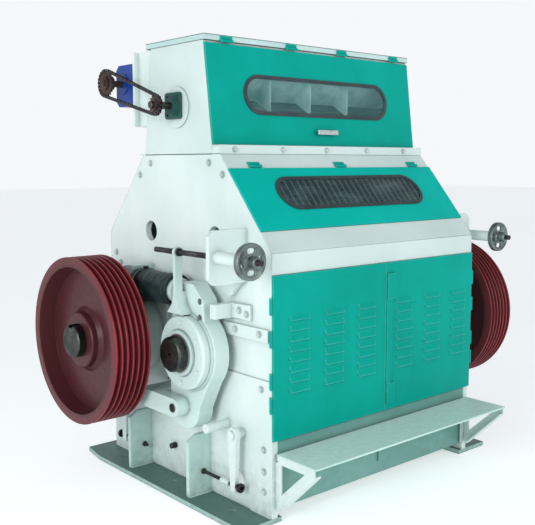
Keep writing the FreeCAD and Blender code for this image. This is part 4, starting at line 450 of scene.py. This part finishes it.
LOOK = {
    WHITE: """side_frame_left side_frame_right slot_keepers arm_stops step_brackets
        rear_covers screw_brackets motor_bracket lifting_bars discharge_chute
        rear_covers_sheet front_scraper rear_scraper""",
    SHEET: "hopper_body front_bands end_discs",
    CASTING: "swing_arm_left swing_arm_right arm_covers rear_housings pivot_links",
    ROOF_SHADE: "hopper_roof",
    BASE_DUST_AND_SHADE: "floor_plates",
    GUSSET_SHADE: "gussets rear_sill",
    SILL_SHADE: "front_sill",
    STEP: "step_tread",
    GREEN: "door_left door_right hopper_door door_pulls hinge_barrels",
    FLAP_LIT: "flap",
    RED: "rear_pulley",
    RED_RIGHT: "front_pulley",
    TEAL: "feed_bearings",
    BLUE: "gearbox feed_motor",
    CAST: "handwheel_left handwheel_right",
    SHAFT: "front_shaft rear_shaft pivot_pins feed_roll",
    RUST: "drive_sprocket feed_sprocket",
    DARK: "feed_chain",
    THREAD: "scraper_rods setting_screws",
    ROLL: "front_roll rear_roll",
    CHROME: "hopper_grip",
    RUBBER: "hopper_rubber flap_rubber",
    BOOT: "buffer_boots",
    GLASS: "hopper_glass",
    DARK_GLASS: "flap_glass",
    ZINC: "frame_bolts boot_clamps",
    TRAY: "feed_tray",
}
for look, names in LOOK.items():
    for name in names.split():
        mesh = nodes[name].data
        if not mesh.materials:
            mesh.materials.append(None)
        for slot in nodes[name].material_slots:
            slot.link = "OBJECT"
            slot.material = look
unpainted = [name for name in nodes if not any(name in names.split() for names in LOOK.values())]
if unpainted:
    raise RuntimeError("no material for " + ", ".join(unpainted))


def soften(name, width, angle=32.0):
    """Rounds a node's outer edges and smooths its shading, without touching its mesh."""
    target = nodes[name]
    weld = target.modifiers.new("weld", "WELD")
    weld.merge_threshold = 0.00002
    if name in ("floor_plates", "side_frame_left", "side_frame_right"):
        flat = target.modifiers.new("flat", "DECIMATE")
        flat.decimate_type = "DISSOLVE"
        flat.angle_limit = math.radians(0.4)
    bevel = target.modifiers.new("edge", "BEVEL")
    bevel.width = width
    bevel.segments = 2
    bevel.limit_method = "ANGLE"
    bevel.angle_limit = math.radians(angle)
    bevel.use_clamp_overlap = True
    weighted = target.modifiers.new("shade", "WEIGHTED_NORMAL")
    weighted.mode = "FACE_AREA"
    weighted.weight = 50


SOFT = {
    0.0020: """side_frame_left side_frame_right floor_plates gussets front_sill rear_sill
        slot_keepers arm_stops rear_housings screw_brackets gearbox""",
    0.0012: """step_brackets hopper_body hopper_roof motor_bracket end_discs front_bands
        step_tread rear_covers_sheet flap hopper_door arm_covers rear_covers lifting_bars
        front_shaft rear_shaft handwheel_left handwheel_right front_pulley rear_pulley
        feed_bearings feed_motor hopper_grip door_pulls front_scraper rear_scraper""",
    0.0030: "swing_arm_left swing_arm_right",
}
for width, names in SOFT.items():
    for name in names.split():
        soften(name, width)

# Detail pieces: mesh helpers
class Mesh:
    """Gathers turned, prismatic and swept forms into one mesh piece."""

    def __init__(self):
        self.bm = bmesh.new()

    def lathe(self, profile, centre, along, steps=32):
        """Turns (along, radius) points about a line through centre; ends at radius 0 close."""
        aim = Vector(along).normalized()
        side = aim.orthogonal().normalized()
        up = aim.cross(side)
        rings = []
        for out, radius in profile:
            middle = Vector(centre) + aim * out
            if radius < 1e-6:
                rings.append([self.bm.verts.new(middle)])
                continue
            ring = []
            for index in range(steps):
                angle = 2 * math.pi * index / steps
                ring.append(self.bm.verts.new(
                    middle + radius * (math.cos(angle) * side + math.sin(angle) * up)
                ))
            rings.append(ring)
        for a, b in zip(rings, rings[1:]):
            for index in range(steps):
                following = (index + 1) % steps
                corners = [a[index % len(a)], a[following % len(a)], b[following % len(b)], b[index % len(b)]]
                faces = list(dict.fromkeys(corners))
                if len(faces) > 2:
                    self.bm.faces.new(faces)

    def closed_lathe(self, profile, centre, along, steps=32):
        """A turned ring whose profile closes on itself."""
        self.lathe(list(profile) + [profile[0]], centre, along, steps)

    def bolt(self, centre, along, radius, tall, turn=0.0, washer=True):
        """A hexagon head with a chamfered crown on a washer."""
        start = 0.0
        if washer:
            self.lathe(
                [(0.0, 0.0), (0.0, radius * 1.32), (0.0016, radius * 1.35), (0.002, radius * 1.28), (0.002, 0.0)],
                centre, along, 24,
            )
            start = 0.002
        aim = Vector(along).normalized()
        side = aim.orthogonal().normalized()
        up = aim.cross(side)
        levels = [(start, 1.0), (tall * 0.8, 1.0), (tall, 0.82)]
        rings = []
        for out, share in levels:
            ring = []
            for index in range(6):
                angle = turn + math.pi / 3 * index
                ring.append(self.bm.verts.new(
                    Vector(centre) + aim * out
                    + radius * share * (math.cos(angle) * side + math.sin(angle) * up)
                ))
            rings.append(ring)
        for a, b in zip(rings, rings[1:]):
            for index in range(6):
                self.bm.faces.new([a[index], a[(index + 1) % 6], b[(index + 1) % 6], b[index]])
        self.bm.faces.new(rings[-1])

    def sweep(self, points, radius, sides=8, closed=False, wobble=0.0):
        """A round bar or weld bead along points."""
        points = [Vector(point) for point in points]
        rings = []
        for index, point in enumerate(points):
            if closed:
                aim = points[(index + 1) % len(points)] - points[index - 1]
            else:
                aim = points[min(index + 1, len(points) - 1)] - points[max(index - 1, 0)]
            aim.normalize()
            side = aim.cross(Vector((0.13, 0.31, 0.94))).normalized()
            up = aim.cross(side)
            size = radius * (1.0 + wobble * (rng.random() - 0.5) + wobble * 0.5 * math.sin(index * 2.1))
            rings.append([
                self.bm.verts.new(
                    point + size * (math.cos(2 * math.pi * k / sides) * side + math.sin(2 * math.pi * k / sides) * up)
                )
                for k in range(sides)
            ])
        pairs = list(zip(rings, rings[1:]))
        if closed:
            pairs.append((rings[-1], rings[0]))
        for a, b in pairs:
            for k in range(sides):
                self.bm.faces.new([a[k], a[(k + 1) % sides], b[(k + 1) % sides], b[k]])
        if not closed:
            self.bm.faces.new(rings[0])
            self.bm.faces.new(rings[-1])

    def weld(self, start, end, radius=0.0032):
        """A weld bead with scales, from one corner to another."""
        start, end = Vector(start), Vector(end)
        count = max(4, int((end - start).length / 0.0045))
        self.sweep([start.lerp(end, index / count) for index in range(count + 1)], radius, 6, wobble=0.35)

    def slab(self, low, high):
        """A plain block between two corners, for strips and gaskets."""
        made = bmesh.ops.create_cube(self.bm, size=1.0)["verts"]
        low, high = Vector(low), Vector(high)
        for vert in made:
            vert.co = Vector([(a + b) / 2 + c * (b - a) for a, b, c in zip(low, high, vert.co)])

    def piece(self, name, material, slot, body, bevel=0.0, replaces=(), smooth=40.0):
        bmesh.ops.recalc_face_normals(self.bm, faces=self.bm.faces)
        for face in self.bm.faces:
            face.smooth = True
        for edge in self.bm.edges:
            if len(edge.link_faces) == 2 and edge.calc_face_angle(0.0) > math.radians(smooth):
                edge.smooth = False
        mesh = bpy.data.meshes.new(name)
        self.bm.to_mesh(mesh)
        self.bm.free()
        mesh.materials.append(material)
        made = bpy.data.objects.new(name, mesh)
        bpy.context.scene.collection.objects.link(made)
        if bevel:
            edge = made.modifiers.new("edge", "BEVEL")
            edge.width = bevel
            edge.segments = 2
            edge.limit_method = "ANGLE"
            edge.angle_limit = math.radians(35)
        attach(made, body)
        if replaces:
            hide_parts(*replaces)
        return made


def loose_parts(name):
    """The lowest and highest corners of each separate solid of a node."""
    bm = bmesh.new()
    bm.from_mesh(nodes[name].data)
    bmesh.ops.remove_doubles(bm, verts=bm.verts, dist=0.00005)
    seen, boxes = set(), []
    for vert in bm.verts:
        if vert in seen:
            continue
        stack, group = [vert], []
        seen.add(vert)
        while stack:
            here = stack.pop()
            group.append(here.co.copy())
            for edge in here.link_edges:
                other = edge.other_vert(here)
                if other not in seen:
                    seen.add(other)
                    stack.append(other)
        low = Vector([min(co[axis] for co in group) for axis in range(3)])
        high = Vector([max(co[axis] for co in group) for axis in range(3)])
        boxes.append((low, high))
    bm.free()
    return boxes


def joint_place(name):
    for joint in frame["record"]["behaviour"]["joints"]:
        if joint["name"] == name:
            return Vector(joint["pos_m"])
    raise RuntimeError("no joint " + name)


left_low, left_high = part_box("side_frame_left")
right_low, right_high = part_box("side_frame_right")
side_x = right_high[0]
front_y, back_y = left_low[1], left_high[1]

# Frame bolts: painted heads on washers, and one dark stud low on each side
heads, studs = Mesh(), Mesh()
for low, high in loose_parts("frame_bolts"):
    size = high - low
    middle = (low + high) / 2
    if size.x < size.y and size.x < size.z:
        outward = 1 if middle.x > 0 else -1
        foot = (low.x if outward > 0 else high.x, middle.y, middle.z)
        along = (outward, 0, 0)
        radius, tall = size.z / 2, size.x
    else:
        foot, along = (middle.x, high.y, middle.z), (0, -1, 0)
        radius, tall = max(size.x, size.z) / 2, size.y
    if middle.z < 0.2 and middle.y > 0.0:
        studs.lathe(
            [(0.0, 0.0), (0.0, 0.0125), (0.026, 0.0125), (0.0275, 0.011), (0.0275, 0.0)], foot, along, 24,
        )
        studs.closed_lathe([(0.008, 0.0125), (0.009, 0.0142), (0.011, 0.0142), (0.012, 0.0125)], foot, along, 24)
    else:
        heads.bolt(foot, along, radius, tall, turn=rng.random())
heads.piece("bolt_heads", BOLT, "zinc", "frame", replaces=("frame_bolts",))
studs.piece("low_studs", DARK, "dark_steel", "frame")

# Bearing cover screws and the sealing rings round the shafts
roll_front = joint_place("front_roll_spin")
roll_rear = joint_place("rear_roll_spin")
for name, centre, body in (("arm_covers", roll_front, "swing_arms"), ("rear_covers", roll_rear, "frame")):
    cover_low, cover_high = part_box(name)
    face_x = cover_high[0] - 0.011
    radius = (cover_high[2] - cover_low[2]) / 2
    screws = Mesh()
    for side in (-1, 1):
        for index in range(6):
            angle = math.radians(30 + 60 * index)
            screws.bolt(
                (side * face_x, centre.y + radius * 0.81 * math.cos(angle), centre.z + radius * 0.81 * math.sin(angle)),
                (side, 0, 0), 0.0075, 0.006, turn=rng.random(),
            )
    screws.piece(name + "_screws", WHITE, "white_paint", body)
for name, centre, side, body in (
    ("front_ring", roll_front, -1, "front_roll"), ("rear_ring", roll_rear, 1, "rear_roll"),
):
    ring = Mesh()
    ring.closed_lathe(
        [(0.1674, 0.0684), (0.1674, 0.0765), (0.1706, 0.0765), (0.1706, 0.0684)],
        (side * side_x, centre.y, centre.z), (side, 0, 0), 64,
    )
    ring.piece(name, ZINC, "zinc", body, bevel=0.0004)

# Buffer boots: a rubber sleeve with lips, soft folds and a pinched neck under its clamp
boot_low, boot_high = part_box("buffer_boots")
boot_z = (boot_low[2] + boot_high[2]) / 2
boot_radius = (boot_high[2] - boot_low[2]) / 2
boot_x = boot_high[0] - boot_radius
boot_start, boot_end = boot_low[1], boot_high[1]
clamp_low, clamp_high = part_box("boot_clamps")
clamp_middle = clamp_low[1] + 0.010
sleeve = Mesh()
for side in (-1, 1):
    outer = []
    long = boot_end - boot_start
    count = 96
    for index in range(count + 1):
        along = long * index / count
        radius = boot_radius - 0.0036
        radius += 0.0030 * math.exp(-((along - 0.008) / 0.006) ** 2)
        radius -= 0.0040 * math.exp(-((along - 0.024) / 0.006) ** 2)
        for fold, swell in ((0.046, 0.0016), (0.070, 0.0010), (0.112, 0.0006), (0.165, 0.0014)):
            radius += swell * math.exp(-((along - fold) / 0.008) ** 2)
        from_clamp = boot_start + along - clamp_middle
        radius += (boot_radius - 0.0006 - radius) * math.exp(-(from_clamp / 0.016) ** 6)
        radius += 0.0028 * math.exp(-((from_clamp - 0.034) / 0.010) ** 2)
        if along > long - 0.012:
            radius -= 0.010 * ((along - long + 0.012) / 0.012) ** 2
        outer.append((along, radius))
    inner = [(long, 0.0), (long - 0.040, 0.0), (long - 0.040, boot_radius - 0.007), (0.0, boot_radius - 0.007)]
    sleeve.lathe(
        [(0.0, boot_radius - 0.007)] + outer + [(long, 0.0)],
        (side * boot_x, boot_start, boot_z), (0, 1, 0), 72,
    )
    sleeve.lathe(inner[1:], (side * boot_x, boot_start, boot_z), (0, 1, 0), 72)
for vert in sleeve.bm.verts:
    side = 1 if vert.co.x > 0 else -1
    flat = Vector((vert.co.x - side * boot_x, 0.0, vert.co.z - boot_z))
    if flat.length > boot_radius - 0.006:
        angle = math.atan2(flat.z, flat.x)
        crease = math.sin(3 * angle + vert.co.y * 40) * math.sin(vert.co.y * 95 + 2 * angle)
        dent = min(0.0, crease) + 0.6 * min(0.0, math.sin(2 * angle + 1.3 + vert.co.y * 22))
        vert.co += flat.normalized() * 0.0013 * dent
sleeve.piece("boot_sleeves", BOOT, "boot_rubber", "frame", replaces=("buffer_boots",), smooth=60)

# Boot clamps: a worm-drive band with its screw housing
bands = Mesh()
for side in (-1, 1):
    middle = Vector((side * boot_x, clamp_middle, boot_z))
    bands.closed_lathe(
        [(-0.0065, boot_radius), (-0.0065, boot_radius + 0.0012), (-0.0045, boot_radius + 0.002),
         (0.0045, boot_radius + 0.002), (0.0065, boot_radius + 0.0012), (0.0065, boot_radius)],
        middle, (0, 1, 0), 72,
    )
    top = boot_z + boot_radius + 0.0052
    bands.lathe(
        [(-0.012, 0.0), (-0.012, 0.0045), (0.010, 0.0045), (0.012, 0.0036), (0.012, 0.0)],
        (side * boot_x, clamp_middle, top), (1, 0, 0), 20,
    )
bands.piece("clamp_bands", DARK, "zinc", "frame", bevel=0.0003, replaces=("boot_clamps",))

# Roller chain: inner and outer links in turn round both sprockets
feed_axis = joint_place("feed_roll_spin")
drive_axis = joint_place("drive_sprocket_spin")
chain_low, chain_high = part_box("feed_chain")
chain_x = (chain_low[0] + chain_high[0]) / 2
PITCH = 0.015875


def pitch_circle(teeth):
    return PITCH / (2 * math.sin(math.pi / teeth))


small, big = pitch_circle(15), pitch_circle(22)
run, rise = drive_axis.y - feed_axis.y, drive_axis.z - feed_axis.z
apart = math.hypot(run, rise)
aim = math.atan2(rise, run)
spread = math.acos((small - big) / apart)
span = apart * math.sin(spread)
arc_small = small * 2 * (math.pi - spread)
arc_big = big * 2 * spread
loop_long = 2 * span + arc_small + arc_big


def chain_point(distance):
    """A point on the chain's pitch line, from where it leaves the feed sprocket above."""
    distance %= loop_long
    upper = aim + spread
    if distance < arc_small:
        angle = upper + distance / small
        return (feed_axis.y + small * math.cos(angle), feed_axis.z + small * math.sin(angle))
    distance -= arc_small
    if distance < span:
        angle = aim - spread
        foot = (feed_axis.y + small * math.cos(angle), feed_axis.z + small * math.sin(angle))
        return (
            foot[0] + distance * math.cos(angle + math.pi / 2), foot[1] + distance * math.sin(angle + math.pi / 2),
        )
    distance -= span
    if distance < arc_big:
        angle = aim - spread + distance / big
        return (drive_axis.y + big * math.cos(angle), drive_axis.z + big * math.sin(angle))
    distance -= arc_big
    angle = aim + spread
    foot = (drive_axis.y + big * math.cos(angle), drive_axis.z + big * math.sin(angle))
    return (foot[0] + distance * math.cos(angle + math.pi / 2), foot[1] + distance * math.sin(angle + math.pi / 2))


link_count = 2 * round(loop_long / PITCH / 2)
pins = [chain_point(loop_long * index / link_count) for index in range(link_count)]
chain = Mesh()
for index, (y, z) in enumerate(pins):
    chain.lathe(
        [(-0.0047, 0.0), (-0.0047, 0.0050), (0.0047, 0.0050), (0.0047, 0.0)], (chain_x, y, z), (1, 0, 0), 14,
    )
    chain.lathe(
        [(-0.0082, 0.0), (-0.0082, 0.0022), (-0.0076, 0.0026), (0.0076, 0.0026), (0.0082, 0.0022), (0.0082, 0.0)],
        (chain_x, y, z), (1, 0, 0), 10,
    )
    following = pins[(index + 1) % link_count]
    along = Vector((0, following[0] - y, following[1] - z))
    across = Vector((0, -along.z, along.y)).normalized()
    direction = along.normalized()
    start, end = Vector((chain_x, y, z)), Vector((chain_x, *following))
    outline = []
    for step in range(9):
        angle = math.radians(50 + 260 * step / 8)
        outline.append(start + 0.0068 * (math.cos(angle) * direction + math.sin(angle) * across))
    waist = start.lerp(end, 0.5)
    outline.append(waist - 0.0046 * across)
    for step in range(9):
        angle = math.radians(-130 + 260 * step / 8)
        outline.append(end + 0.0068 * (math.cos(angle) * direction + math.sin(angle) * across))
    outline.append(waist + 0.0046 * across)
    inside = 0.0050 if index % 2 else 0.0064
    for side in (-1, 1):
        faces = []
        for out in (inside, inside + 0.0013):
            faces.append([chain.bm.verts.new(point + Vector((side * out, 0, 0))) for point in outline])
        chain.bm.faces.new(faces[0])
        chain.bm.faces.new(faces[1])
        for k in range(len(outline)):
            following_k = (k + 1) % len(outline)
            chain.bm.faces.new([faces[0][k], faces[0][following_k], faces[1][following_k], faces[1][k]])
chain.piece("roller_chain", DARK, "dark_steel", "frame", replaces=("feed_chain",), smooth=30)

# Weld beads of the gussets, brackets and lifting bars, and short ones along the side frames' feet
beads = Mesh()
base_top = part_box("floor_plates")[1][2]
for low, high in loose_parts("gussets"):
    outward = 1 if low.x > 0 else -1
    inner = low.x if outward > 0 else high.x
    outer = high.x if outward > 0 else low.x
    for y in (low.y, high.y):
        beads.weld((inner, y, low.z + 0.004), (inner, y, high.z - 0.002))
        beads.weld((inner + outward * 0.004, y, base_top), (outer - outward * 0.004, y, base_top))
for low, high in loose_parts("lifting_bars") + loose_parts("screw_brackets"):
    outward = 1 if low.x > 0 else -1
    inner = low.x if outward > 0 else high.x
    middle = (low + high) / 2
    if high.z - low.z < 0.05:
        circle = [
            (inner, middle.y + 0.020 * math.cos(k * math.pi / 18), middle.z + 0.020 * math.sin(k * math.pi / 18))
            for k in range(36)
        ]
        beads.sweep(circle, 0.003, 6, closed=True, wobble=0.35)
    else:
        beads.weld((inner, high.y, low.z + 0.01), (inner, high.y, high.z - 0.01))
for y_edge in (front_y + 0.006, back_y - 0.006):
    for side in (-1, 1):
        beads.weld(
            (side * side_x, y_edge, base_top), (side * side_x, y_edge + (0.12 if y_edge < 0 else -0.12), base_top),
        )
beads.piece("weld_beads", WHITE, "white_paint", "frame", smooth=80)

# Dark joint under the hopper
hopper_low, hopper_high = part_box("hopper_body")
# A dark rubber strip along the joint under the hopper, put there for the joint's dark line: partly a gasket, partly
# painted shade.
joint_strip = Mesh()
sheet_x = min(hopper_high[0], side_x)
joint_up = left_high[2]
for side in (-1, 1):
    inner_x, outer_x = side * (sheet_x - 0.004), side * (sheet_x + 0.0007)
    joint_strip.slab(
        (min(inner_x, outer_x), front_y + 0.357, joint_up - 0.0018),
        (max(inner_x, outer_x), back_y - 0.312, joint_up + 0.0016),
    )
joint_strip.piece("hopper_joint", RUBBER, "rubber", "frame")

# Closed ends of the front ledge, and the screws of the feed tray's rail behind the glass
ends = Mesh()
for side in (-1, 1):
    a, b = side * (side_x - 0.004), side * side_x
    ends.slab((min(a, b), front_y + 0.3085, joint_up + 0.0018), (max(a, b), front_y + 0.3555, joint_up + 0.0305))
ends.piece("ledge_ends", WHITE, "white_paint", "frame", bevel=0.0006)
rail_screws = Mesh()
for index in range(6):
    rail_screws.bolt((-0.42 + 0.168 * index, -0.171, 1.571), (0, -1, 0), 0.008, 0.006, turn=rng.random())
rail_screws.piece("rail_screws", ZINC, "zinc", "frame")

# Scraper rods: a knob before each lever and a painted sleeve behind it
rod_boxes = loose_parts("scraper_rods")
knobs, sleeves = Mesh(), Mesh()
scraper_low, scraper_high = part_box("front_scraper")
for low, high in rod_boxes:
    middle = (low + high) / 2
    rod_x, rod_z = middle.x, middle.z
    facing = -1 if middle.y < 0 else 1
    tip = low.y if facing < 0 else high.y
    knobs.lathe(
        [(0.0, 0.0), (0.0, 0.0155), (0.002, 0.0185), (0.012, 0.0185), (0.014, 0.0165), (0.014, 0.0)],
        (rod_x, tip, rod_z), (0, -facing, 0), 28,
    )
    inner_end = tip - facing * 0.075
    sleeves.closed_lathe(
        [(0.0, 0.0075), (0.0, 0.0115), (0.052, 0.0115), (0.052, 0.0075)],
        (rod_x, inner_end, rod_z), (0, -facing, 0), 28,
    )
knobs.piece("scraper_knobs", DARK, "dark_steel", "frame", bevel=0.0006)
sleeves.piece("scraper_sleeves", WHITE, "white_paint", "frame", bevel=0.0006)

# Floor, light and camera
floor_mesh = bpy.data.meshes.new("floor")
reach = 40.0
floor_mesh.from_pydata(
    [(-reach, -reach, 0), (reach, -reach, 0), (reach, reach, 0), (-reach, reach, 0)], [], [(0, 1, 2, 3)],
)
floor = bpy.data.objects.new("floor", floor_mesh)
bpy.context.scene.collection.objects.link(floor)
floor_shader = Shader("pale_floor")
patch = floor_shader.noise(0.8, 3.0)
floor_shader.set(Base_Color=floor_shader.mix(patch, srgb(236, 240, 242), srgb(228, 233, 236)))
floor_shader.set(Roughness=floor_shader.span(patch, 0.3, 0.7, 0.75, 0.9), Specular_IOR_Level=0.1)
floor_shader.set(Emission_Color=(1.0, 1.0, 1.0, 1.0), Emission_Strength=0.45)
floor_shader.bump((floor_shader.noise(90.0), 0.05, 0.001))
floor_mesh.materials.append(floor_shader.material)
floor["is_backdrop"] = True

world = bpy.context.scene.world or bpy.data.worlds.new("world")
bpy.context.scene.world = world
world.use_nodes = True
sky = world.node_tree
background = sky.nodes.get("Background")
background.inputs["Strength"].default_value = 0.92
height = sky.nodes.new("ShaderNodeSeparateXYZ")
sky.links.new(sky.nodes.new("ShaderNodeTexCoord").outputs["Generated"], height.inputs[0])
blend = sky.nodes.new("ShaderNodeMapRange")
blend.interpolation_type = "SMOOTHSTEP"
sky.links.new(height.outputs["Z"], blend.inputs["Value"])
blend.inputs["From Min"].default_value = 0.22
blend.inputs["From Max"].default_value = 0.75
tone = sky.nodes.new("ShaderNodeMix")
tone.data_type = "RGBA"
sky.links.new(blend.outputs["Result"], tone.inputs[0])
tone.inputs[6].default_value = (1.0, 1.02, 1.04, 1.0)
tone.inputs[7].default_value = (0.34, 0.37, 0.39, 1.0)
sky.links.new(tone.outputs[2], background.inputs["Color"])


def area_light(name, place, aim, size, power, colour=(1, 1, 1)):
    data = bpy.data.lights.new(name, "AREA")
    data.shape = "RECTANGLE"
    data.size, data.size_y = size
    data.energy = power
    data.color = colour
    lamp = bpy.data.objects.new(name, data)
    lamp.location = place
    lamp.rotation_euler = (Vector(aim) - Vector(place)).to_track_quat("-Z", "Y").to_euler()
    bpy.context.scene.collection.objects.link(lamp)


area_light("key", (-5.2, -2.0, 2.2), (-0.4, -0.1, 0.9), (2.4, 2.4), 140)
area_light("front", (0.6, -5.4, 2.0), (0.1, -0.4, 0.8), (3.0, 2.4), 66)

camera_data = bpy.data.cameras.new("camera")
camera_data.lens = 55.74
camera_data.sensor_width = 36.0
camera = bpy.data.objects.new("camera", camera_data)
camera.location = (-2.6087, -2.8610, 1.3737)
camera.rotation_euler = (math.radians(83.205), math.radians(0.12), math.radians(-40.835))
bpy.context.scene.collection.objects.link(camera)
bpy.context.scene.camera = camera

bpy.context.scene.view_settings.view_transform = "Standard"

low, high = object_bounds()
